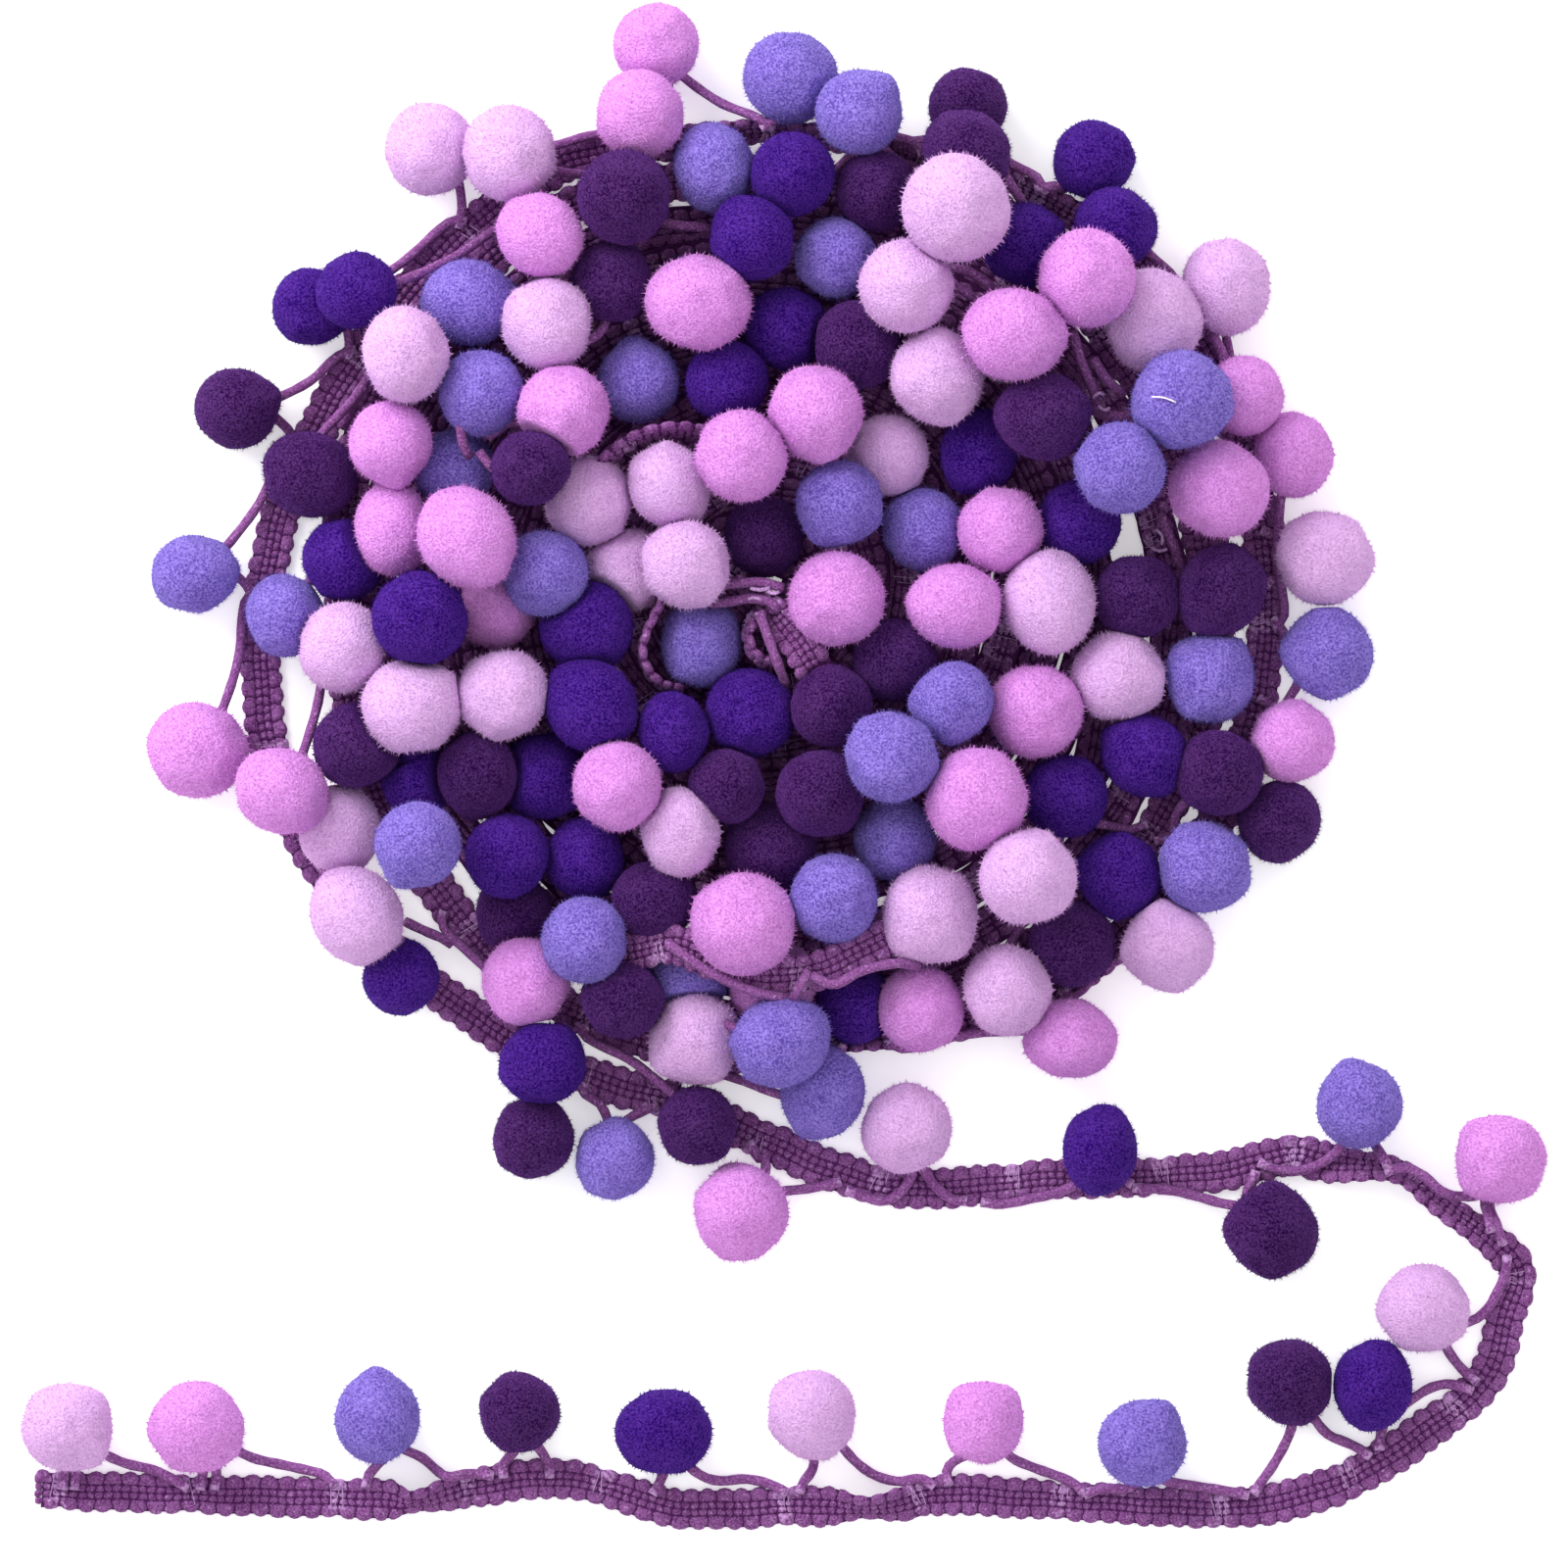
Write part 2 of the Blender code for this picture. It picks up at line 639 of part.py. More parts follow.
def main():
    clear_scene()
    tape_finish = material("heading_tape", TAPE_COLOUR, 0.7)
    cord_finish = material("drop_cord", CORD_COLOUR, 0.75)
    pile = [material(f"pile_{name}", colour, 0.95) for name, colour in COLOURS]
    tape = TailTape()
    placed = placed_by_hand(tape)
    inner = heaped()
    tail = {row[0] for row in TAIL}
    outstanding = {row[0] for row in RIM if row[2] >= STANDS_OUT}
    own_solids = sorted(tail | outstanding)
    heap = [ball for number, ball in {**placed, **inner}.items() if number not in own_solids]
    rim = [placed[number] for number in sorted(outstanding)]
    add_heading_tape(tape, tape_finish)
    add_drop_cord(tape, placed, cord_finish)
    coil = add_wound_coil(heap, rim, tape_finish)
    seats = coil.modifiers.new("seats", "BOOLEAN")
    seats.operation = "DIFFERENCE"
    seats.solver = "EXACT"
    seats.operand_type = "COLLECTION"
    seats.collection = add_pompom_seats(rim)
    union = coil.modifiers.new("legs", "BOOLEAN")
    union.operation = "UNION"
    union.solver = "EXACT"
    union.object = add_coil_legs(rim)
    for number in own_solids:
        add_pompom(number, placed[number], pile[(number - 1) % len(COLOURS)])


main()
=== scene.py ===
# %% [markdown]
# # A pompom fringe trim, heaped in a round coil
# The real thing is a soft trim that a maker sews to a curtain or a cushion. A braided heading tape
# about 10 mm wide carries one felted drop cord, which zigzags out of the tape's edge and back. Each
# bend of the drop cord goes through a pompom, and the pompoms come in five colours that repeat.
# About four and a half metres of it lie in a round heap, and the last half metre runs out of the
# heap as a tail. This lesson builds it on top of a frame of plain solids: the frame says where things
# are, and the pieces made here give it its look. Every table below is in millimetres and degrees, and
# bearings are counted anticlockwise from +X.

import json
from math import cos, hypot, pi, radians, sin, sqrt

import bpy
import numpy as np
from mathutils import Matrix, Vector

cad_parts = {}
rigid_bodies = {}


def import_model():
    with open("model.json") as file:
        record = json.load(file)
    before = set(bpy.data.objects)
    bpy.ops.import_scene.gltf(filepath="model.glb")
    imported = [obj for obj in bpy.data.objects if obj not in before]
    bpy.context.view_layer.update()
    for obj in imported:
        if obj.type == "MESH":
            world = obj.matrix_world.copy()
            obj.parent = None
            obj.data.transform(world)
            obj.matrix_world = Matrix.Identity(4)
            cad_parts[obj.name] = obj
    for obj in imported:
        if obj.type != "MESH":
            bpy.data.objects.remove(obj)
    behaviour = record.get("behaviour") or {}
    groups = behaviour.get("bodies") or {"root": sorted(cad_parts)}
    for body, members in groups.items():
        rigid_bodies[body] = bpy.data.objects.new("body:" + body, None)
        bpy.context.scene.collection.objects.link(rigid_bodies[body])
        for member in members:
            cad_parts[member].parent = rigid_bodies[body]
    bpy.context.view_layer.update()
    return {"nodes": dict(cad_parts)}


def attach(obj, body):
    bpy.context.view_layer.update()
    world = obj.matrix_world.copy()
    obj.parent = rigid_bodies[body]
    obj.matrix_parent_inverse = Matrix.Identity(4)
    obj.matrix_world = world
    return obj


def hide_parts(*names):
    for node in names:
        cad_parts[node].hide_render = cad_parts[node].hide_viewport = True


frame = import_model()
scene = bpy.context.scene
MM = 0.001

# %% [markdown]
# ## The camera
# The trim is looked at from straight above. A long lens from far away keeps the pompoms at the top
# of the heap from looking bigger than those on the table. The distance follows from the lens and
# from how wide the view is at the height of the lower pompoms' middles.

# %% Camera straight above
VIEW_WIDTH = 336.0
VIEW_MIDDLE = (5.25, -44.1, 12.0)  # its height is that of the lower pompoms' middles
LENS = 1000.0
SENSOR = 36.0
FARTHEST_SEEN = 20  # metres
camera_data = bpy.data.cameras.new("camera_above")
camera_data.lens = LENS
camera_data.sensor_width = SENSOR
camera = bpy.data.objects.new("camera_above", camera_data)
camera_height = VIEW_WIDTH * LENS / SENSOR
camera.location = (VIEW_MIDDLE[0] * MM, VIEW_MIDDLE[1] * MM, (VIEW_MIDDLE[2] + camera_height) * MM)
camera.rotation_euler = (0, 0, 0)
camera_data.clip_end = FARTHEST_SEEN
scene.collection.objects.link(camera)
scene.camera = camera
print("camera", round(camera_height), "mm above the lower pompoms' middles")

# %% [markdown]
# ## The floor and the light
# The trim lies on a white light table in a white tent. The table glows a little, which wipes out
# most of the shadows on it. The tent gives even light from all round, and its bright roof reaches
# down between the pompoms. One large rectangular lamp stands beyond the upper left of the view, so
# every pompom is brightest on that side. The plain view transform keeps the dyed colours as they are.

# %% Floor
TABLE_WHITE = (0.93, 0.93, 0.93, 1)
TABLE_GLOW = 0.4
PLAIN_WHITE = (1, 1, 1, 1)
bpy.ops.object.select_all(action="DESELECT")
bpy.ops.mesh.primitive_plane_add(size=8, location=(0, 0, 0))
floor = bpy.context.object
floor.name = "floor"
floor_finish = bpy.data.materials.new("white_table")
floor_finish.use_nodes = True
floor_shader = floor_finish.node_tree.nodes["Principled BSDF"]
floor_shader.inputs["Base Color"].default_value = TABLE_WHITE
floor_shader.inputs["Roughness"].default_value = 0.9
floor_shader.inputs["Specular IOR Level"].default_value = 0.1
floor_shader.inputs["Emission Color"].default_value = PLAIN_WHITE
floor_shader.inputs["Emission Strength"].default_value = TABLE_GLOW
floor.data.materials.append(floor_finish)
print("floor made")

# %% Tent, lamp and roof
TENT_STRENGTH = 0.6
LAMP_PLACE = (-0.85, 0.85, 0.75)  # metres
LAMP_SIZE = (1.2, 0.8)  # metres
LAMP_WATTS = 22
ROOF_STRENGTH = 1.25
ROOF_SPREAD = 110  # degrees
world = bpy.data.worlds.new("white_tent")
world.use_nodes = True
world.node_tree.nodes["Background"].inputs["Color"].default_value = PLAIN_WHITE
world.node_tree.nodes["Background"].inputs["Strength"].default_value = TENT_STRENGTH
scene.world = world
lamp_data = bpy.data.lights.new("soft_box", "AREA")
lamp_data.shape = "RECTANGLE"
lamp_data.size, lamp_data.size_y = LAMP_SIZE
lamp_data.energy = LAMP_WATTS
lamp = bpy.data.objects.new("soft_box", lamp_data)
lamp.location = LAMP_PLACE
lamp.rotation_euler = Vector(lamp.location).to_track_quat("Z", "Y").to_euler()
scene.collection.objects.link(lamp)
roof_data = bpy.data.lights.new("bright_roof", "SUN")
roof_data.energy = ROOF_STRENGTH
roof_data.angle = radians(ROOF_SPREAD)
roof = bpy.data.objects.new("bright_roof", roof_data)
scene.collection.objects.link(roof)
scene.view_settings.view_transform = "Standard"
print("lamp", LAMP_WATTS, "W, tent", TENT_STRENGTH, "and roof", ROOF_STRENGTH)
# %% [markdown]
# ## Where everything lies
# The tables say where each thing is seen to lie, and the helpers turn them into places. The tail's
# pompoms and tape come first, then the outermost turn of the coil and the pompoms that lie round its
# rim, and last those that have rolled into a heap on the inner turns.

# %% Sizes of the trim
TAPE_WIDTH = 10.0
TAPE_THICKNESS = 2.4
CORD_RADIUS = 1.08
POMPOM_RADIUS = 9.8  # to the tips of the pile, of a pompom of the usual size
SOLID_SHARE = 0.94  # of a pompom's radius, the firm ball inside the loose tips
GAP = 0.35  # from a firm ball to the tape that it rests on
BALL_GAP = 0.1  # from one firm ball to the next
LAYERS_HEIGHT = 5.0  # of the tape's turns under the heap
LAYER_RISE = 5.0  # from one layer of pompoms in the heap to the next
HIGHEST_MIDDLE = 35.0  # of any pompom in the heap
FLAT_SPOT = 0.6  # how far a pompom on the surface is pressed flat
BRIM_WIDTH = 14.0  # from the outermost turn's middle in to where the turns lie in layers
CURVE_STEPS = 24  # of a smooth curve, from one row of its table to the next
print("tape", TAPE_WIDTH, "mm wide, pompoms", 2 * POMPOM_RADIUS, "mm across")

# %% The tail's pompoms
# The tail's pompoms, from the free end: where the drop cord leaves the tape before it, as a
# distance along the tape, then the middle of the pompom and its radius.
TAIL = (
    # number, anchor, x, y, radius
    (1, 5, -148.5, -182, 9.9),
    (2, 34, -121, -182, 10.3),
    (3, 65, -82, -180, 9.7),
    (4, 95, -51.5, -178.5, 9.0),
    (5, 124, -20.5, -183, 10.1),
    (6, 164, 11, -179, 9.9),
    (7, 194, 48, -181, 9.0),
    (8, 225, 82, -185.5, 9.7),
    (9, 259, 113.5, -172, 9.5),
    (10, 288, 131.5, -173, 9.2),
    (11, 315, 142, -156.5, 9.9),
    (12, 347, 159, -124.5, 9.9),
    (13, 379, 128.5, -113, 9.5),
    (14, 406, 110, -140, 10.1),
    (15, 435, 73, -122.5, 9.0),
    (16, 467, 31.5, -118, 9.9),
    (17, 496, -4, -135.5, 10.5),
)
TAIL_LAST_ANCHOR = 524
print(len(TAIL), "pompoms on the tail")

# %% The tail's route
# The route of the tail's tape from its cut end into the coil. Lean is how far the tape stands
# up on one edge there.
ROUTE = (
    # x, y, lean
    (-155.6, -195.5, 0),
    (-121, -196.5, 0),
    (-84, -197.5, 0),
    (-75, -198, 60),
    (-67, -196.5, 35),
    (-61, -195, 0),
    (-45, -193, 0),
    (-33, -195, 0),
    (-17, -199.5, 0),
    (10, -199, 0),
    (22, -199.3, 60),
    (31, -198.5, 30),
    (40, -196.5, 0),
    (67, -198, 0),
    (98, -199.5, 0),
    (112, -198, 0),
    (126, -193.5, 0),
    (142, -183.5, 0),
    (155.5, -172, 0),
    (160.5, -157, 0),
    (162.5, -148, 0),
    (155, -140.5, 40),
    (146, -134, 50),
    (138, -127.5, 55),
    (129, -126, 45),
    (120, -125, 0),
    (114, -123.5, 0),
    (100, -127, 0),
    (80, -128.5, 0),
    (60, -129, 0),
    (44, -130.5, 0),
    (28, -130.5, 0),
    (13, -126, 0),
    (0, -120, 0),
    (-15, -113.5, 0),
)
print(len(ROUTE), "points along the tail")

# %% The outermost turn
# The coil's outermost turn of tape, laid clockwise: where its middle runs.
OUTER_TURN = (
    # bearing, distance
    (262, 113.5),
    (235, 112.0),
    (211, 112.5),
    (200, 111.5),
    (190, 108.5),
    (180, 105.5),
    (170, 102.5),
    (160, 99.0),
    (150, 97.0),
    (140, 96.0),
    (130, 96.5),
    (115, 97.5),
    (100, 93.5),
    (90, 94.5),
    (80, 94.0),
    (70, 95.0),
    (60, 99.0),
    (45, 103.5),
    (30, 106.5),
    (0, 108.5),
    (-25, 112.0),
    (-50, 109.5),
    (-64, 105.0),
    (-78, 99.5),
    (-98, 102.5),
)
print(len(OUTER_TURN), "points round the outermost turn")

# %% Pompoms round the rim
# Pompoms of the two outer turns, and three that were flung out from a turn further in.
RIM = (
    # number, bearing, distance, radius
    (18, 256, 128, 8.8),
    (19, 248, 129, 9.0),
    (20, 228, 115, 8.4),
    (21, 220, 112.5, 10.4),
    (22, 197, 126, 10.9),
    (23, 179.6, 121.4, 9.2),
    (24, 162, 118, 9.2),
    (25, 148.7, 112.2, 8.7),
    (26, 127.5, 116, 10.0),
    (27, 101, 116.5, 9.3),
    (28, 86.5, 107.5, 10.2),
    (29, 66.2, 110.7, 8.5),
    (30, 51.5, 114.5, 8.8),
    (31, 32, 118, 10.0),
    (32, 13, 117.5, 9.4),
    (33, -7.5, 123, 9.9),
    (34, -25, 123, 9.1),
    (35, -39.5, 100, 9.2),
    (36, -42, 118, 9.9),
    (37, -56, 119, 9.5),
    (38, -83, 111, 9.8),
    (39, 263.5, 118, 8.7),
    (40, 246, 113.5, 9.4),
    (41, 211, 105, 9.5),
    (42, 204, 112, 9.8),
    (43, 184.5, 102, 9.2),
    (44, 167, 99, 9.9),
    (45, 144.5, 106, 8.9),
    (46, 120.5, 105.5, 10.5),
    (47, 104.5, 102.5, 9.8),
    (48, 78, 102, 9.5),
    (49, 64, 101.5, 9.4),
    (50, 44.6, 107.1, 9.0),
    (51, 33.2, 100.6, 10.8),
    (52, 20.6, 110.9, 8.8),
    (53, -12.5, 99, 9.9),
    (54, -23, 107, 9.6),
    (55, -35.5, 80.5, 9.2),
    (56, -59, 103, 9.7),
    (57, -69.5, 98.5, 9.5),
    (58, -87.5, 99.5, 10.3),
    (76, 2, 121.5, 10.5),
    (77, -17, 119.5, 9.2),
    (78, -33, 114, 10.1),
)
FLUNG_OUT = (76, 77, 78)
FIRST_TURN_LAST = 38  # the last pompom of the outermost turn; 39 to 58 hang on the next one
print(len(RIM), "pompoms round the rim")

# %% Pompoms of the heap
# The pompoms of the turns further in have rolled into a heap. Layer says how many layers of other
# pompoms each of them lies on, and is below 0 for one that has sunk between the turns of tape.
HEAP = (
    # number, x, y, radius, layer
    (59, -29.4, -90.3, 9.4, 1),
    (60, -37.5, -60, 9.0, 0),
    (61, -14, -98.5, 10.1, -0.5),
    (62, -50, -86.5, 9.7, 0),
    (63, -46, 1, 9.4, 2),
    (64, -49, 23.5, 8.8, 4),
    (65, -78, -33, 9.3, 0),
    (66, -45.5, 54.5, 10.1, 2),
    (67, -47, 73.5, 9.4, 2),
    (68, -9.8, 88, 9.6, 0),
    (69, 25, 83, 8.8, 0),
    (70, 57, 71.5, 9.4, 0),
    (71, 53, 51, 9.3, 0),
    (72, 98.5, 19, 10.9, 1),
    (73, -14, 60, 9.3, 0),
    (74, 46, -46, 9.3, 0),
    (75, 37, -73, 9.3, 0),
    (79, -52.5, -72, 8.8, -1),
    (80, -73, -43, 8.4, 0),
    (81, -89, -15, 9.9, 1),
    (82, -79, 29, 9.2, 2),
    (83, -62, 59, 9.9, 0),
    (84, -29, 81.5, 10.3, 2),
    (85, 7, 86.5, 9.2, 1),
    (86, 31.5, 62.5, 10.3, 3),
    (87, 70, 64, 10.7, 3),
    (88, 90, 38, 10.9, 3),
    (89, 99, -2.5, 9.9, 0),
    (90, 82.5, -38, 9.4, 0),
    (91, 57.5, -64, 10.7, 4),
    (92, 3, -87, 9.7, -1),
    (93, -15.5, -85.5, 9.2, -1),
    (94, -22.5, -69, 9.4, 1),
    (95, -46.5, -42.5, 9.4, 0),
    (96, -74.5, -27.5, 10.7, 2),
    (97, -78.5, 10.5, 9.2, 1),
    (98, -65.5, 23.5, 8.8, 0),
    (99, -31.5, 63.5, 9.2, 1),
    (100, -1.5, 72.5, 9.2, 2),
    (101, 42, 79, 11.8, 4),
    (102, 54.5, 52, 10.9, 4),
    (103, 77, 23.5, 10.1, 4),
    (104, 81, -4, 9.4, 0),
    (105, 62, -6, 9.3, 0),
    (106, 36.5, -72, 10.7, 1),
    (107, -3.5, -74, 11.3, 2),
    (108, -37.5, -77.5, 9.4, 2),
    (109, -60.5, -42, 9.2, 1),
    (110, -72.5, -8.5, 10.5, 3),
    (111, -36, -27, 9.3, 0),
    (112, -42, 35.5, 10.1, 3),
    (113, 59, -29, 9.3, 0),
    (114, 37, 43, 9.3, 0),
    (115, 5.5, 53.5, 9.2, 0),
    (116, 38, 43, 10.3, 2),
    (117, 51.5, 10.5, 9.4, 1),
    (118, 41.5, -26.5, 8.8, 3),
    (119, 67, -78.5, 9.4, -1),
    (120, 20.5, -91.5, 8.6, -1),
    (121, -17, -54.4, 9.3, 2),
    (122, -30.5, -44.5, 9.7, 3),
    (123, -73, -57, 9.4, 4),
    (124, -86, -35.5, 9.7, 1),
    (125, -89, 4, 9.2, 0),
    (126, -75.7, 47.8, 10.1, 3),
    (127, -13, 59, 10.7, 2),
    (128, 16.5, 68.5, 9.0, 0),
    (129, 61, 34.5, 10.1, 3),
    (130, 68.5, 12, 9.2, 0),
    (131, 76.5, -21, 10.1, 0),
    (132, 59, -28.5, 10.3, 1),
    (133, 29, -56, 9.0, 0),
    (134, 2.5, -58, 10.1, 0),
    (135, -54, -59.5, 9.2, 1),
    (136, -55, -25, 10.1, 2),
    (137, -56.5, -7, 8.4, 0),
    (138, -59.5, 39.5, 9.4, 2),
    (139, -76, 47, 9.3, 0),
    (140, -7, 42, 9.0, 1),
    (141, 27.5, 26.5, 9.0, 0),
    (142, 42, -6, 9.7, 2),
    (143, 28.5, -38.5, 10.1, 4),
    (144, 13, -46, 9.7, 2),
    (145, -18.5, -33, 8.8, 2),
    (146, -28.5, 2, 9.4, 0),
    (147, -62.5, 8.5, 10.9, 4),
    (148, -26, 42, 9.0, 0),
    (149, 21, 50, 9.7, 1),
    (150, 47, 27, 8.8, 0),
    (151, 62, -5, 10.7, 1),
    (152, 46.5, -47.5, 11.3, 3),
    (153, 16, -68.5, 9.7, 2),
    (154, -7, -44.5, 8.4, 2),
    (155, -37, -10.5, 10.1, 1),
    (156, -19.5, 20, 9.2, 2),
    (157, 12, 35.5, 10.3, 3),
    (158, 35, 10.5, 9.0, 0),
    (159, 15.5, -27.5, 9.0, 2),
    (160, -36, -27.5, 10.3, 2),
    (161, -36.5, 16.5, 9.7, 1),
    (162, -4, 26, 10.1, 4),
    (163, 17, 16, 9.4, 2),
    (164, 29, -17.5, 9.2, 1),
    (165, -2, -29, 9.9, 1),
    (166, -16, 3, 9.7, 3),
    (167, 16.5, -4.5, 10.5, 2),
    (168, -12.5, -14.5, 9.0, 0),
    (169, 1, 9, 8.8, 0),
)
print(len(HEAP), "pompoms in the heap")

# %% Smooth curves through a table's rows
SUPPORT_STEP = 8.0  # from one point of the tail's tape that a pompom may rest on to the next


def smoothed(rows, step):
    """Rows every step millimetres along a Catmull-Rom curve through the given rows."""
    rows = np.array(rows, float)
    ends = np.vstack([2 * rows[0] - rows[1], rows, 2 * rows[-1] - rows[-2]])
    fine = []
    for before, start, end, after in zip(ends, ends[1:], ends[2:], ends[3:]):
        for t in np.linspace(0, 1, CURVE_STEPS, endpoint=False):
            fine.append(
                0.5
                * (
                    2 * start
                    + (end - before) * t
                    + (2 * before - 5 * start + 4 * end - after) * t**2
                    + (3 * start - before - 3 * end + after) * t**3
                )
            )
    fine.append(rows[-1])
    fine = np.array(fine)
    run = np.concatenate([[0], np.cumsum(np.hypot(*np.diff(fine[:, :2], axis=0).T))])
    places = np.linspace(0, run[-1], max(round(run[-1] / step), 1) + 1)
    return places, np.array([np.interp(places, run, column) for column in fine.T]).T


def tape_distance(bearing):
    """How far the outermost turn's middle lies from the coil's middle, at a bearing."""
    table = np.array(OUTER_TURN[::-1], float)
    last = table[-1, 0]
    return np.interp((bearing - last) % -360 + last, table[:, 0], table[:, 1])


def lean_size(lean):
    """Half the width that a leaning tape covers, and its height."""
    wide = TAPE_WIDTH * np.cos(np.radians(lean)) + TAPE_THICKNESS * np.sin(np.radians(lean))
    high = TAPE_WIDTH * np.sin(np.radians(lean)) + TAPE_THICKNESS * np.cos(np.radians(lean))
    return wide / 2, high


tail_run, tail_rows = smoothed(ROUTE, SUPPORT_STEP)
tail_rows[:, 2] = np.clip(tail_rows[:, 2], 0, None)
print("tail tape", round(tail_run[-1]), "mm long")

# %% Pompoms at their listed places
def resting_height(x, y, body):
    """The height of a firm ball's middle when it rests on the surface, a tape or a tape's edge."""
    distance = hypot(x, y)
    bearing = np.degrees(np.arctan2(y, x))
    edge = distance - tape_distance(bearing) - TAPE_WIDTH / 2
    under_heap = distance < tape_distance(bearing) - BRIM_WIDTH
    supports = [(edge, LAYERS_HEIGHT if under_heap else TAPE_THICKNESS)]
    for px, py, lean in tail_rows:
        half, high = lean_size(lean)
        supports.append((hypot(x - px, y - py) - half, high))
    height = body - FLAT_SPOT
    for beyond, top in supports:
        if beyond < body:
            height = max(height, top + GAP + sqrt(body**2 - max(beyond, 0) ** 2))
    return height


def placed_by_hand():
    """{number: (x, y, z, radius)} of the tail's and the rim's pompoms, each on what lies below."""
    rows = [(number, x, y, radius) for number, _, x, y, radius in TAIL]
    for number, bearing, distance, radius in RIM:
        angle = radians(bearing)
        rows.append((number, distance * cos(angle), distance * sin(angle), radius))
    placed = {}
    for number, x, y, radius in rows:
        body = radius * SOLID_SHARE
        z = resting_height(x, y, body)
        for ox, oy, oz, other in sorted(placed.values(), key=lambda ball: ball[2]):
            apart = body + other * SOLID_SHARE + BALL_GAP
            across = hypot(x - ox, y - oy)
            if across < apart and abs(z - oz) < sqrt(apart**2 - across**2):
                z = oz + sqrt(apart**2 - across**2)
        placed[number] = (x, y, z, radius)
    return placed


placed = placed_by_hand()
print("placed by hand:", len(placed), "pompoms")

# %% Pompoms of the heap, layer on layer
def heaped():
    """{number: (x, y, z, radius)} of the heap's pompoms."""
    found = {}
    for number, x, y, radius, layer in HEAP:
        height = radius + LAYERS_HEIGHT + layer * LAYER_RISE
        found[number] = (x, y, min(height, HIGHEST_MIDDLE), radius)
    return found


balls = {**placed, **heaped()}
print("pompoms in all:", len(balls), "highest middle", round(max(b[2] for b in balls.values()), 1))

# %% [markdown]
# ## Finishes
# Every piece is dyed polyester or acrylic yarn, so every finish is a rough Principled shader with a
# little sheen, which is the pale bloom that short fibres give at a grazing angle. What differs is
# the grain. The pompoms have a dense velour of half-millimetre tufts, whose bright tips stand over
# dark gaps, and the tape and the drop cord have twisted and felted yarn. The grain comes from noise
# on Object coordinates: it mixes a darker and a brighter tone of the dye, and through a bump it
# gives the tufts their relief. The tones follow the bump, so the brighter one is a painted highlight
# on the tips and the darker one is painted shade in the gaps, over a little uneven dyeing. Dyes are
# given as a person reads them off a screen, from 0 to 255, and turned into the linear numbers that
# a shader takes.

# %% Colours from screen values
def linear(levels):
    """A shader's colour from screen values of 0 to 255."""
    shares = np.clip(np.array(levels, float), 0, 255) / 255
    low, high = shares / 12.92, ((shares + 0.055) / 1.055) ** 2.4
    return (*np.where(shares <= 0.04045, low, high), 1.0)


print("a mid grey of 128 is", round(linear((128, 128, 128))[0], 3))

# %% One recipe for a yarn finish
PATCH_SHARE = 0.22  # how much of the grain is uneven dyeing, over and above the tufts
TUFT_EDGES = (0.36, 0.64)  # the noise values that give the darkest and the brightest tone
THREAD_GRAIN = 0.9  # of the thread that binds the tape, in millimetres
THREAD_SHARE = 0.34  # how much an anchor's nearness counts for where thread covers the yarn
THREAD_EDGES = (0.60, 0.92)  # the values that give bare yarn and full thread


def noise(tree, size, detail, place):
    made = tree.nodes.new("ShaderNodeTexNoise")
    made.inputs["Scale"].default_value = 1 / (size * MM)
    made.inputs["Detail"].default_value = detail
    made.inputs["Roughness"].default_value = 0.55
    tree.links.new(place.outputs["Object"], made.inputs["Vector"])
    return made


def spread_out(tree, value, edges):
    """The value stretched so that the two edges become 0 and 1."""
    made = tree.nodes.new("ShaderNodeMapRange")
    made.inputs["From Min"].default_value, made.inputs["From Max"].default_value = edges
    tree.links.new(value, made.inputs["Value"])
    return made.outputs["Result"]


def mixed(tree, share, one, other):
    """A colour mix. one and other are colours or sockets."""
    made = tree.nodes.new("ShaderNodeMix")
    made.data_type = "RGBA"
    tree.links.new(share, made.inputs["Factor"])
    for socket, colour in ((made.inputs["A"], one), (made.inputs["B"], other)):
        if isinstance(colour, tuple):
            socket.default_value = colour
        else:
            tree.links.new(colour, socket)
    return made.outputs["Result"]


def summed(tree, value, factor, other):
    """value times factor, plus other."""
    made = tree.nodes.new("ShaderNodeMath")
    made.operation = "MULTIPLY_ADD"
    made.inputs[1].default_value = factor
    tree.links.new(value, made.inputs[0])
    tree.links.new(other, made.inputs[2])
    return made.outputs["Value"]


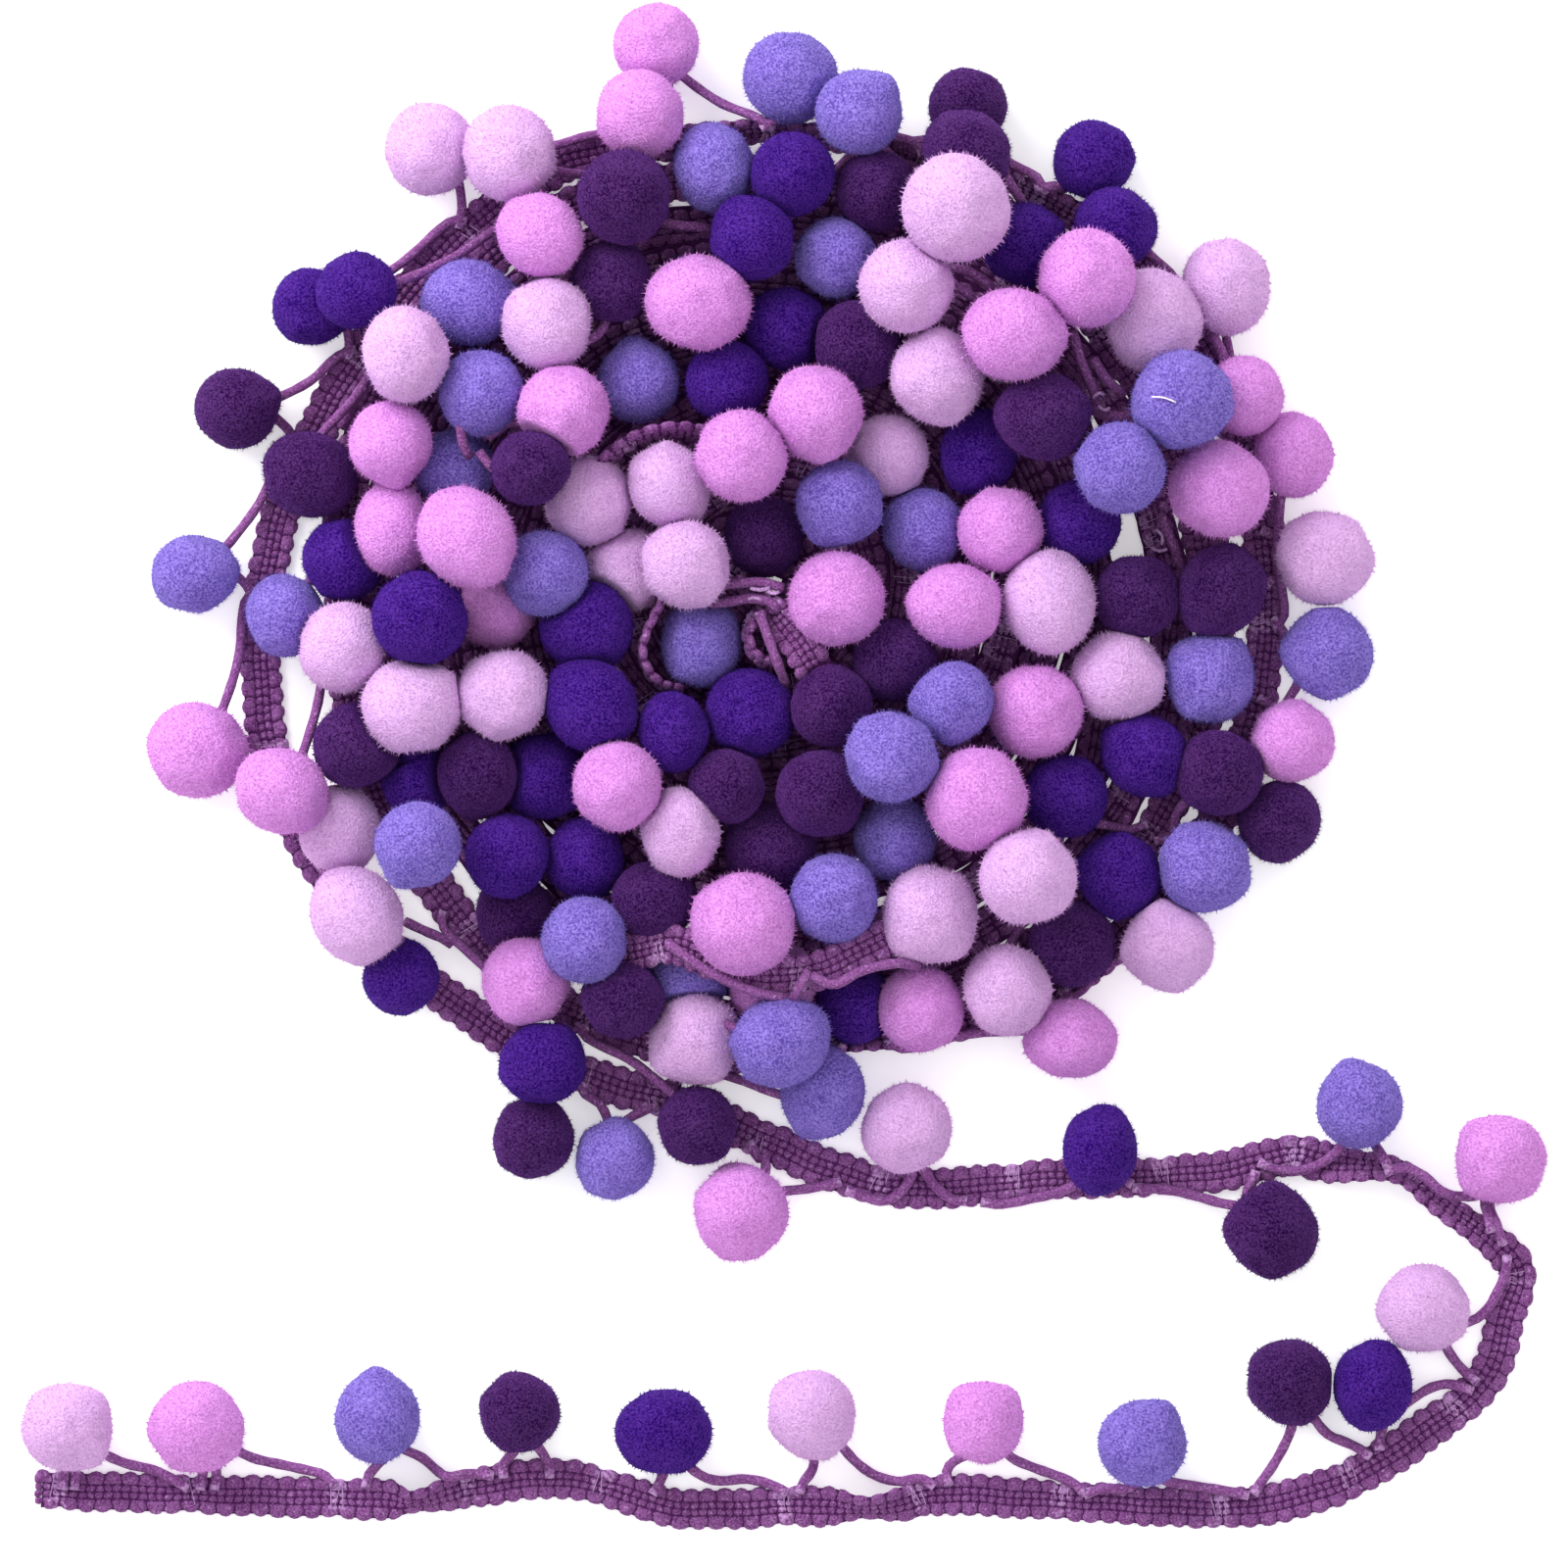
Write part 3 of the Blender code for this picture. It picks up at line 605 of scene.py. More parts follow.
def fibre_finish(name, dye, dye_and_shade_spread, grain, patch, relief, sheen, tint, binding=None):
    """A yarn finish. The third argument is how far its tones lie from the dye, in screen values.
    The tones follow the bump, so they are a painted highlight on the tufts' tips and painted shade
    in the gaps, over uneven dyeing. Grain and patch are the sizes of its tufts and of its uneven
    dyeing and relief the height of its bump, in millimetres. Binding is the colour of the thread
    that shows where the attribute says so."""
    made = bpy.data.materials.new(name)
    made.use_nodes = True
    tree = made.node_tree
    shader = tree.nodes["Principled BSDF"]
    shader.inputs["Roughness"].default_value = 0.9
    shader.inputs["Specular IOR Level"].default_value = 0.05
    shader.inputs["Sheen Weight"].default_value = sheen
    shader.inputs["Sheen Roughness"].default_value = 0.4
    shader.inputs["Sheen Tint"].default_value = linear(tint)
    place = tree.nodes.new("ShaderNodeTexCoord")
    tufts = noise(tree, grain, 2, place).outputs["Fac"]
    patches = noise(tree, patch, 2, place).outputs["Fac"]
    both = summed(tree, patches, PATCH_SHARE, tufts)
    added = 0.5 * PATCH_SHARE  # what the patches add on average
    share = spread_out(tree, both, (TUFT_EDGES[0] + added, TUFT_EDGES[1] + added))
    # The tones follow the bump: the brighter is a painted highlight on the tufts' tips, the darker is
    # painted shade in the gaps, mixed with uneven dyeing.
    dark, light = (linear(np.array(dye) + way * dye_and_shade_spread) for way in (-1, 1))
    colour = mixed(tree, share, dark, light)
    if binding:
        near = tree.nodes.new("ShaderNodeAttribute")
        near.attribute_name = "binding"
        strands = noise(tree, THREAD_GRAIN, 1, place).outputs["Fac"]
        cover = summed(tree, near.outputs["Fac"], THREAD_SHARE, strands)
        colour = mixed(tree, spread_out(tree, cover, THREAD_EDGES), colour, linear(binding))
    bump = tree.nodes.new("ShaderNodeBump")
    bump.inputs["Strength"].default_value = 1.0
    bump.inputs["Distance"].default_value = relief * MM
    tree.links.new(tufts, bump.inputs["Height"])
    tree.links.new(colour, shader.inputs["Base Color"])
    tree.links.new(bump.outputs["Normal"], shader.inputs["Normal"])
    return made


print("recipe ready")

# %% The five pile colours
PILE = (
    # name, dye, spread of its tones (painted highlight and shade, uneven dyeing), sheen, colour of the
    # sheen
    ("light_lilac", (214, 168, 222), 13, 0.10, (250, 225, 255)),
    ("orchid", (210, 138, 216), 17, 0.10, (250, 205, 255)),
    ("periwinkle", (121, 99, 189), 28, 0.24, (190, 190, 255)),
    ("dark_plum", (57, 21, 80), 23, 0.34, (180, 105, 235)),
    ("royal_violet", (58, 17, 118), 24, 0.22, (145, 90, 250)),
)


def colour_of(number):
    """The row of a pompom's colour. The colours follow each other along the trim."""
    return (number - 1) % len(PILE)


PILE_GRAIN = 0.5
PILE_PATCH = 6.0
PILE_RELIEF = 0.6
pile_finishes = [
    fibre_finish("pile_" + name, dye, dye_and_shade_spread, PILE_GRAIN, PILE_PATCH, PILE_RELIEF, sheen, tint)
    for name, dye, dye_and_shade_spread, sheen, tint in PILE
]
print("pile:", ", ".join(made.name for made in pile_finishes))

# %% The tape, the drop cord and the binding thread
BINDING_PALE = (196, 152, 205)
YARN_SHEEN = (235, 205, 245)
YARNS = (
    # name, dye, tone spread (painted light and shade, uneven dyeing), grain, patch, relief, sheen,
    # and the colour of thread that binds it
    ("braided_tape", (124, 72, 130), 26, 0.36, 5.0, 0.2, 0.08, BINDING_PALE),
    # the ground's dye is the tape's shaded tone, painted shade for the holes between the stitches
    ("tape_ground_painted_shade", (77, 32, 84), 10, 0.5, 5.0, 0.1, 0.0, None),
    ("felted_cord", (132, 78, 138), 20, 0.45, 4.0, 0.25, 0.08, BINDING_PALE),
    ("binding_thread", (190, 148, 199), 26, 0.4, 3.0, 0.1, 0.1, None),
    ("stray_fibre", (232, 222, 228), 12, 0.4, 3.0, 0.1, 0.1, None),
)
yarn_finishes = [fibre_finish(*row, YARN_SHEEN, binding) for *row, binding in YARNS]
tape_finish, ground_shade_finish, cord_finish, thread_finish, stray_finish = yarn_finishes
print("yarns:", ", ".join(made.name for made in yarn_finishes))

# %% [markdown]
# ## Helpers for modelling
# A piece is modelled as by hand, with a primitive that is shaped by operators. Operators act on all
# that is selected, so the first helper selects only what is named. The others join pieces, read and
# move a mesh's points in millimetres, and build one mesh from many moved copies of a model, which is
# how all the pompoms of a colour become one piece without slowing Blender down.

# %% Selecting and joining
def choose(*pieces):
    bpy.ops.object.select_all(action="DESELECT")
    for piece in pieces:
        piece.select_set(True)
    bpy.context.view_layer.objects.active = pieces[-1]


def joined(pieces, name):
    choose(*pieces)
    bpy.ops.object.join()
    made = bpy.context.object
    made.name = name
    made.data.name = name
    return made


def applied(piece):
    """The piece with its place, turn and size moved into its mesh."""
    choose(piece)
    bpy.ops.object.transform_apply(location=True, rotation=True, scale=True)
    return piece


def points_of(piece):
    found = np.empty(len(piece.data.vertices) * 3, np.float32)
    piece.data.vertices.foreach_get("co", found)
    return found.reshape(-1, 3).astype(float) / MM


def move_points(piece, points):
    piece.data.vertices.foreach_set("co", (points * MM).astype(np.float32).ravel())
    piece.data.update()


def mark_binding(piece, shares):
    """Keeps with each point how much binding thread covers it, from 0 to 1."""
    mark = piece.data.attributes.new("binding", "FLOAT", "POINT")
    mark.data.foreach_set("value", np.asarray(shares, np.float32))


def triangles(piece):
    piece.data.calc_loop_triangles()
    return len(piece.data.loop_triangles)


print("helpers ready")

# %% One mesh from many moved copies
def copies(name, parts, finish):
    """One object from (model, moved points) pairs. Each pair is a copy of the model's mesh."""
    points, corners, starts = [], [], []
    read = {}
    offset = corner_offset = 0
    for model, moved in parts:
        if model.name not in read:
            index = np.empty(len(model.data.loops), np.int32)
            model.data.loops.foreach_get("vertex_index", index)
            start = np.empty(len(model.data.polygons), np.int32)
            model.data.polygons.foreach_get("loop_start", start)
            read[model.name] = index, start
        index, start = read[model.name]
        points.append(moved)
        corners.append(index + offset)
        starts.append(start + corner_offset)
        offset += len(moved)
        corner_offset += len(index)
    points = np.vstack(points)
    corners = np.concatenate(corners)
    starts = np.concatenate(starts)
    mesh = bpy.data.meshes.new(name)
    mesh.vertices.add(len(points))
    mesh.vertices.foreach_set("co", (points * MM).astype(np.float32).ravel())
    mesh.loops.add(len(corners))
    mesh.loops.foreach_set("vertex_index", corners)
    mesh.polygons.add(len(starts))
    mesh.polygons.foreach_set("loop_start", starts)
    mesh.update(calc_edges=True)
    mesh.validate()
    mesh.shade_smooth()
    mesh.materials.append(finish)
    made = bpy.data.objects.new(name, mesh)
    scene.collection.objects.link(made)
    return made


print("copies() ready")

# %% [markdown]
# ## One length of braid
# The tape is a gimp braid. A plump yarn runs to and fro across it, and where it turns at an edge it
# makes a round scallop. The scallops of one edge lie half a pitch on from those of the other. Three
# chains of finer yarn bind the crossing yarn along the middle, which gives four rows of small
# stitches with dark holes between them. One pitch is modelled once, from stretched spheres, and the
# Array modifier repeats it. A thin ground strip inside the stitches is the cloth itself, and shows
# only as the dark in the holes. It is dyed in the tape's shaded tone, so that dark is painted shade.
# Turns that lie hidden under the pompoms get a plainer braid.

# %% Model one pitch of braid
BRAID_PITCH = 3.75  # from one scallop to the next
STITCH_ROWS = (-2.3, -0.77, 0.77, 2.3)  # across the tape, from its middle
STITCH_SIZE = (0.53, 0.9, 0.95)  # half of it, its length as a share of the step between columns
SCALLOP_PLACE = 3.0  # across the tape, from its middle
SCALLOP_SIZE = (1.95, 1.6, 0.98)  # half of it
GROUND_WIDTH = 7.9
GROUND_THICKNESS = 0.7


def plump(segments, rings, place, size):
    """A sphere stretched along the tape into a stitch or a scallop, its poles at its two ends."""
    bpy.ops.object.select_all(action="DESELECT")
    bpy.ops.mesh.primitive_uv_sphere_add(
        segments=segments, ring_count=rings, radius=MM, rotation=(0, radians(90), 0)
    )
    made = bpy.context.object
    bpy.ops.object.transform_apply(location=False, rotation=True, scale=False)
    made.scale = size
    made.location = [axis * MM for axis in place]
    return applied(made)


def braid_pitch(name, columns, stitch_faces, scallop_faces):
    """Stitches in four rows, and a scallop at each edge, half a pitch apart. Faces are the segments
    and the rings of their spheres."""
    pieces = []
    step = BRAID_PITCH / columns
    for across in STITCH_ROWS:
        for i in range(columns):
            size = (step * STITCH_SIZE[0], *STITCH_SIZE[1:])
            pieces.append(plump(*stitch_faces, ((i + 0.5) * step, across, 0), size))
    for side, along in ((1, BRAID_PITCH / 2), (-1, BRAID_PITCH)):
        pieces.append(plump(*scallop_faces, (along, side * SCALLOP_PLACE, 0), SCALLOP_SIZE))
    made = joined(pieces, name)
    made.data.shade_smooth()
    return made


def ground_pitch():
    """One pitch of the ground strip, open at both ends so that the next one joins it."""
    bpy.ops.object.select_all(action="DESELECT")
    bpy.ops.mesh.primitive_cube_add(size=MM, location=(BRAID_PITCH / 2 * MM, 0, 0))
    made = bpy.context.object
    made.scale = (BRAID_PITCH, GROUND_WIDTH, GROUND_THICKNESS)
    applied(made)
    bpy.ops.object.mode_set(mode="EDIT")
    bpy.ops.mesh.select_mode(type="FACE")
    bpy.ops.mesh.select_all(action="SELECT")
    bpy.ops.mesh.subdivide(number_cuts=1)
    bpy.ops.mesh.select_all(action="DESELECT")
    bpy.ops.object.mode_set(mode="OBJECT")
    for face in made.data.polygons:
        face.select = abs(face.normal.x) > 0.9  # those at its two ends
    bpy.ops.object.mode_set(mode="EDIT")
    bpy.ops.mesh.delete(type="FACE")
    bpy.ops.object.mode_set(mode="OBJECT")
    made.name = "ground"
    return made


fine_braid = braid_pitch("braid_fine", columns=2, stitch_faces=(8, 4), scallop_faces=(8, 6))
plain_braid = braid_pitch("braid_plain", columns=1, stitch_faces=(5, 4), scallop_faces=(6, 4))
ground = ground_pitch()
print("triangles in a pitch of braid:", triangles(fine_braid), triangles(plain_braid))

# %% [markdown]
# ## Where the tape runs
# The tail's tape follows its table. In the coil the tape is one long spiral, laid clockwise, whose
# first turn keeps the uneven outline in full. The table alone shapes the next three, because their
# gaps show between the pompoms, and from there on the outline comes back and grows rounder towards
# the middle. Under the heap each turn lies partly over the one outside it, like shingles, so it leans.

# %% The spiral
ROUND_DISTANCE = 110.5  # mean distance of the outline that the turns share
SPIRAL_STEP = 3.0
STEP_CORE = 12.0  # nearer than this to the middle, the angle from point to point stays the same
SPIRAL = (
    # turn, distance, lean
    (0, 110.5, 0),
    (0.42, 106.2, 0),
    (0.47, 105.7, 55),
    (0.57, 104.7, 55),
    (0.64, 104, 0),
    (0.89, 101.4, 0),
    (0.93, 101, 45),
    (0.97, 100.6, 45),
    (1, 100.3, 0),
    (1.06, 99.5, 0),
    (1.1, 96.5, 0),
    (1.14, 94, 0),
    (1.18, 91.5, 5),
    (1.23, 88.5, 10),
    (1.29, 91, 5),
    (1.35, 89.5, 5),
    (1.41, 89.5, 5),
    (1.45, 86.5, 5),
    (1.5, 84.5, 10),
    (1.52, 86, 10),
    (1.55, 93, 10),
    (1.58, 94, 10),
    (1.63, 90.5, 12),
    (1.68, 93.5, 12),
    (1.73, 96.2, 12),
    (1.76, 99.5, 12),
    (1.8, 100.5, 12),
    (1.84, 99.8, 12),
    (1.88, 98.7, 12),
    (1.9, 96, 15),
    (2, 94, 20),
    (2.06, 85, 22),
    (2.1, 84.5, 24),
    (2.2, 82.5, 24),
    (2.34, 80.3, 24),
    (2.4, 80, 24),
    (2.45, 77, 24),
    (2.5, 77, 24),
    (2.54, 80.5, 24),
    (2.63, 82.5, 24),
    (2.71, 86.2, 24),
    (2.74, 88.5, 24),
    (2.78, 91, 24),
    (2.82, 91.3, 24),
    (2.89, 89.3, 24),
    (2.94, 88, 24),
    (3, 85, 24),
    (3.06, 77.5, 24),
    (3.1, 73.5, 24),
    (3.3, 73.3, 24),
    (3.38, 71.5, 24),
    (3.44, 69.5, 24),
    (3.5, 69, 24),
    (3.58, 74, 24),
    (3.64, 74.7, 24),
    (3.67, 73.5, 24),
    (3.7, 69.5, 24),
    (3.73, 72, 24),
    (3.76, 75.5, 24),
    (3.81, 82, 24),
    (3.94, 78.6, 24),
    (3.97, 75.5, 24),
    (4, 70, 24),
    (4.05, 61.5, 24),
    (4.08, 65, 24),
    (4.15, 66, 24),
    (4.34, 67.5, 24),
    (4.5, 66.5, 24),
    (4.77, 68.5, 24),
    (4.81, 69.3, 24),
    (4.87, 69, 24),
    (4.92, 67.5, 24),
    (5, 63.5, 24),
    (5.5, 60.5, 24),
    (5.8, 60.5, 24),
    (6, 57.3, 24),
    (6.77, 53, 24),
    (7, 50, 24),
    (8, 43, 22),
    (9, 36, 20),
    (10, 29, 18),
    (11, 22, 16),
    (12, 15, 14),
    (13, 8, 10),
    (13.8, 3, 5),
)
LAST_TURN = SPIRAL[-1][0]
UNEVENNESS = ((1, 1.1, 4, 4.6), (1, 0, 0, 1))  # turns, and how much of the outline they keep
WOBBLES = ((0.8, 6.1, 0), (0.5, 12.3, 1))  # height of a wave, half waves in a turn, start
WOBBLY_FROM = 4.2  # turns


def outline(bearing):
    """The outermost turn's distance with its inward drift taken out, so that it closes."""
    first, last = OUTER_TURN[0], OUTER_TURN[-1]
    share = ((first[0] - bearing) % 360) / 360
    return tape_distance(bearing) + (first[1] - last[1]) * share


def spiral_point(turn):
    """The place and the lean of the tape after a number of turns."""
    bearing = OUTER_TURN[0][0] - 360 * turn
    turns, distances, leans = np.array(SPIRAL, float).T
    base = np.interp(turn, turns, distances)
    shared = np.interp(turn, *UNEVENNESS) * base / ROUND_DISTANCE
    uneven = 1 + (outline(bearing) / ROUND_DISTANCE - 1) * shared
    wobble = sum(high * sin(turn * waves * pi + start) for high, waves, start in WOBBLES)
    distance = base * uneven + (wobble if turn > WOBBLY_FROM else 0)
    angle = radians(bearing)
    return distance * cos(angle), distance * sin(angle), np.interp(turn, turns, leans)


turn = 0.0
spiral = []
while turn < LAST_TURN:
    x, y, lean = spiral_point(turn)
    spiral.append((x, y, lean, turn))
    turn += SPIRAL_STEP / (2 * pi * max(hypot(x, y), STEP_CORE))
spiral = np.array(spiral)
print("spiral of", len(spiral), "points")

# %% The tape's whole line, with a side and a height at each point
OUTER_TURNS = 2.1  # how many of the spiral's turns are the outer stretch of tape
LINE_STEP = 1.0


class TapeLine:
    """Points along the middle of the tape, and how it lies there."""

    def __init__(self, points, leans, heights=None):
        along = np.gradient(points, axis=0)
        along /= np.linalg.norm(along, axis=1)[:, None]
        self.sides = np.stack([-along[:, 1], along[:, 0]], axis=1)
        self.points, self.leans = points, leans
        self.heights = lean_size(leans)[1] / 2 if heights is None else heights
        steps = np.linalg.norm(np.diff(np.column_stack([points, self.heights]), axis=0), axis=1)
        self.run = np.concatenate([[0], np.cumsum(steps)])

    def at(self, distance):
        """Middle x and y, side x and y, lean and height at distances along the tape."""
        columns = [*self.points.T, *self.sides.T, self.leans, self.heights]
        found = np.array([np.interp(distance, self.run, column) for column in columns])
        found[2:4] /= np.hypot(found[2], found[3])
        return found


_, fine_rows = smoothed(ROUTE, LINE_STEP)
tail_line = TapeLine(fine_rows[:, :2], np.clip(fine_rows[:, 2], 0, None))
outer_count = int(np.searchsorted(spiral[:, 3], OUTER_TURNS))
outer_line = TapeLine(spiral[:outer_count, :2], spiral[:outer_count, 2])
inner_line = TapeLine(spiral[outer_count - 1 :, :2], spiral[outer_count - 1 :, 2])
for name, line in (("tail", tail_line), ("outer", outer_line), ("inner", inner_line)):
    print(name, "tape", round(line.run[-1]), "mm")

# %% Stretches that have sprung up
# A few stretches of the inner turns have sprung up between the pompoms of the heap, and show
# on top. Each runs down under the pompoms at its two ends.
SPRUNG = {
    "low_side": (
        # x, y, height, lean
        (-40, -74, 9, 0),
        (-31, -80, 17, 5),
        (-18, -78.5, 24, 8),
        (-9, -82, 24, 14),
        (2, -85, 24, 16),
        (14, -83.5, 24, 0),
        (27, -77, 23, -8),
        (38, -72, 15, 0),
    ),
    "upper_left": (
        (-40, 13, 13, 60),
        (-34, 23.5, 20, 68),
        (-26, 30, 23, 72),
        (-17, 31.5, 23, 70),
        (-7, 29, 16, 60),
    ),
    "beside_middle": (
        (-19, 0, 13, 80),
        (-21.5, -6, 19, 84),
        (-24, -11, 21, 86),
        (-25.2, -15.5, 21, 86),
        (-23.8, -20, 20, 84),
        (-20.5, -23, 17, 82),
        (-15, -24.5, 11, 75),
    ),
    "inner_end": (
        (-6, -1, 15, 70),
        (-1, -2.5, 19, 65),
        (2.5, -6, 22, 50),
        (5.5, -10.5, 24, 15),
        (8.5, -14, 25, 0),
        (10.5, -17, 25, -5),
        (12.5, -20.5, 23, -10),
    ),
    "inner_loop": (
        (4, -5, 19, 70),
        (-0.5, -7.5, 21.5, 76),
        (-2.6, -12, 22, 80),
        (-1, -16.5, 22, 78),
        (2.5, -18.5, 20, 74),
        (7, -19.5, 15, 65),
    ),
}
sprung_lines = {}
for name, rows in SPRUNG.items():
    _, fine = smoothed(rows, LINE_STEP)
    sprung_lines[name] = TapeLine(fine[:, :2], fine[:, 3], fine[:, 2])
    print("sprung", name, round(sprung_lines[name].run[-1]), "mm")

# %% [markdown]
# ## Laying the tape
# The Array modifier makes a straight tape of the right length. Its points are then carried onto the
# line: a point's place along the straight tape finds the middle and the side there, and its place
# across and its height go out along that side, turned by the lean. A second number is kept with
# each point, the `binding` attribute. It says how near the point is to an anchor, where thread
# binds the drop cord down and makes the stitches paler.

# %% Straight tape, then carried onto its line
BINDING_REACH = 1.9  # how far from an anchor the tape is still covered by thread
GROUND_INSET = 1.6  # of a long ground strip's ends behind the stitches
SHORT_INSET = 60  # a short strip is inset by its length over this
DRAWN_IN = 0.1  # how much narrower the tape is at an anchor
DRAWN_REACH = 3.0
LOWEST_TAPE = 0.02  # so that no tape dips through the table


def pompom_side(line, anchor):
    """1 or -1 for the edge of the tape that is nearer to the pompom beside an anchor."""
    x, y, side_x, side_y, _, _ = line.at(anchor)
    bx, by, _, _ = min(balls.values(), key=lambda ball: hypot(ball[0] - x, ball[1] - y))
    return 1 if (bx - x) * side_x + (by - y) * side_y > 0 else -1


def straight_tape(name, unit, length):
    choose(unit)
    bpy.ops.object.duplicate()
    made = bpy.context.object
    made.name = name
    made.data.name = name
    repeat = made.modifiers.new("repeat", "ARRAY")
    repeat.use_relative_offset = False
    repeat.use_constant_offset = True
    repeat.constant_offset_displace = (BRAID_PITCH * MM, 0, 0)
    repeat.count = max(round(length / BRAID_PITCH), 1)
    repeat.use_merge_vertices = True
    repeat.merge_threshold = 0.00001
    choose(made)
    bpy.ops.object.modifier_apply(modifier=repeat.name)
    return made


def close_ends(strip):
    """Fills the two open ends of a ground strip."""
    choose(strip)
    bpy.ops.object.mode_set(mode="EDIT")
    bpy.ops.mesh.select_mode(type="VERT")
    bpy.ops.mesh.select_all(action="SELECT")
    bpy.ops.mesh.fill_holes(sides=8)
    bpy.ops.object.mode_set(mode="OBJECT")
    return strip


def laid_on(piece, line, anchors, seed, finish, inset=0.0):
    """Carries a straight tape onto its line, with a little unevenness, and marks its anchors."""
    points = points_of(piece)
    points[:, 0] = inset + points[:, 0] * (line.run[-1] - 2 * inset) / points[:, 0].max()
    wave = np.random.default_rng(seed).uniform(0, 2 * pi, 6)
    along, across, rise = points.T
    # Each row of stitches shifts a little to and fro along the tape.
    along = np.clip(along + 0.2 * np.sin(2.1 * across + along * 0.9), 0, line.run[-1])
    # Thread covers an anchor more at the edge beside its pompom, and no two anchors alike.
    apart = np.abs(along[:, None] - np.array(anchors)[None, :])
    near, nearest = apart.min(axis=1), apart.argmin(axis=1)
    sides = np.array([pompom_side(line, anchor) for anchor in anchors])
    strength = 0.66 + 0.22 * np.sin(nearest * 2.4 + wave[4]) + 0.1 * across * sides[nearest]
    cover = np.clip(1.5 - near / BINDING_REACH, 0, 1) * np.clip(strength, 0, 1)
    # The tape is drawn in at an anchor, and elsewhere it is now broader or thicker, now less so.
    across = across * (1 - DRAWN_IN * np.exp(-((near / DRAWN_REACH) ** 2)))
    across = across * (1 + 0.03 * np.sin(along / 17 + wave[0]))
    across = across + 0.12 * np.sin(along / 2.3 + wave[1])
    rise = rise * (1 + 0.06 * np.sin(along / 5 + wave[2]))
    rise = rise + 0.06 * np.sin(along / 3.1 + across + wave[3])
    x, y, side_x, side_y, lean, height = line.at(along)
    tilt = np.radians(lean)
    out = across * np.cos(tilt) - rise * np.sin(tilt)
    up = across * np.sin(tilt) + rise * np.cos(tilt) + height
    up = np.maximum(up, LOWEST_TAPE)
    move_points(piece, np.stack([x + side_x * out, y + side_y * out, up], axis=1))
    mark_binding(piece, cover)
    piece.data.materials.append(finish)


def tape(name, unit, line, anchors, seed, broader=1.0):
    """The ground strip, drawn broader or not, and the stitches of one stretch of tape."""
    length = line.run[-1]
    strip = close_ends(straight_tape(name, ground, length))
    move_points(strip, points_of(strip) * (1, broader, 1))
    stitches = straight_tape(name + "_stitches", unit, length)
    inset = min(GROUND_INSET, length / SHORT_INSET)
    # the ground strip's finish is painted shade, the tape's shaded tone for the holes
    laid_on(strip, line, anchors, seed, ground_shade_finish, inset)
    laid_on(stitches, line, anchors, seed, tape_finish)
    return strip, stitches


print("laying ready")

# %% [markdown]
# ## Anchors
# The drop cord is caught in the tape about every 30 mm. On the tail the anchors are in its table. On
# the two outer turns they sit just before their pompom's bearing, and further in they follow each
# other at the trim's usual spacing, with a few more where one shows between the pompoms.

# %% Anchors along the tail and in the coil
ANCHOR_LEAD = 2.5  # degrees, from an anchor on to its pompom
ANCHOR_SPACING = 30.5
FIRST_INNER_ANCHOR = 6.0
SEEN_ANCHORS = (
    # x, y of an anchor that shows between the pompoms
    (86, 8),
    (50, -17),
    (57, 84),
    (25, 92),
    (72, 37),
    (29, 0),
    (-62, 31),
    (-64, -75),
    (-29, -82),
)


def along_spiral(turn):
    """The stretch of tape at a number of turns, and the distance along it."""
    outer_turns, inner_turns = spiral[:outer_count, 3], spiral[outer_count - 1 :, 3]
    if turn <= outer_turns[-1]:
        return outer_line, float(np.interp(turn, outer_turns, outer_line.run))
    return inner_line, float(np.interp(turn, inner_turns, inner_line.run))


def turn_at(x, y):
    """The number of turns at the point of the spiral that is nearest to a place."""
    return float(spiral[np.hypot(*(spiral[:, :2] - (x, y)).T).argmin(), 3])


tail_anchors = [row[1] for row in TAIL] + [TAIL_LAST_ANCHOR]
anchor_turns = {}
for number, bearing, _, _ in RIM:
    if number not in FLUNG_OUT:
        whole_turns = 1 if number > FIRST_TURN_LAST else 0
        part_turn = (OUTER_TURN[0][0] - bearing - ANCHOR_LEAD) % 360 / 360
        anchor_turns[number] = part_turn + whole_turns
outer_anchors = [along_spiral(turn)[1] for turn in anchor_turns.values()]
inner_anchors = list(np.arange(FIRST_INNER_ANCHOR, inner_line.run[-1], ANCHOR_SPACING))
for x, y in SEEN_ANCHORS:
    line, anchor = along_spiral(turn_at(x, y))
    anchors = outer_anchors if line is outer_line else inner_anchors
    anchors.append(anchor)
sprung_anchors = {
    "low_side": (24, 56),
    "upper_left": (22,),
    "beside_middle": (30,),
    "inner_end": (11,),
    "inner_loop": (8,),
}
print("anchors:", len(tail_anchors), "tail,", len(outer_anchors), "outer,", len(inner_anchors), "inner")

# %% The stretches of tape
# the ground strip carries painted shade, so a broader one darkens more of the gaps between turns
INNER_BROADER = 1.2  # under the heap the ground reaches nearly to the scallops' tips
tail_tape = tape("tail_tape", fine_braid, tail_line, tail_anchors, 1)
outer_tape = tape("outer_tape", fine_braid, outer_line, outer_anchors, 2)
inner_tape = tape("inner_tape", plain_braid, inner_line, inner_anchors, 3, INNER_BROADER)
sprung = [
    tape("sprung_" + name, fine_braid, line, sprung_anchors[name], 4 + i)
    for i, (name, line) in enumerate(sprung_lines.items())
]
for strip, stitches in (tail_tape, outer_tape, inner_tape, *sprung):
    print(strip.name, triangles(strip), "and", triangles(stitches), "triangles")

# %% [markdown]
# ## The drop cord
# Each pompom hangs in a bend of the drop cord. One leg comes from the anchor beside it and the other
# sags on to the next anchor. A leg lies on the tape's edge at its anchor, under paler thread, then
# runs out and dives into the pile. Each leg is a soft tube skinned round a smooth line, and its
# rings shrink and swell a little, as felted cord does. Inside the heap hardly any cord can be seen,
# so there a pompom gets two short legs that come up from the nearest tape.

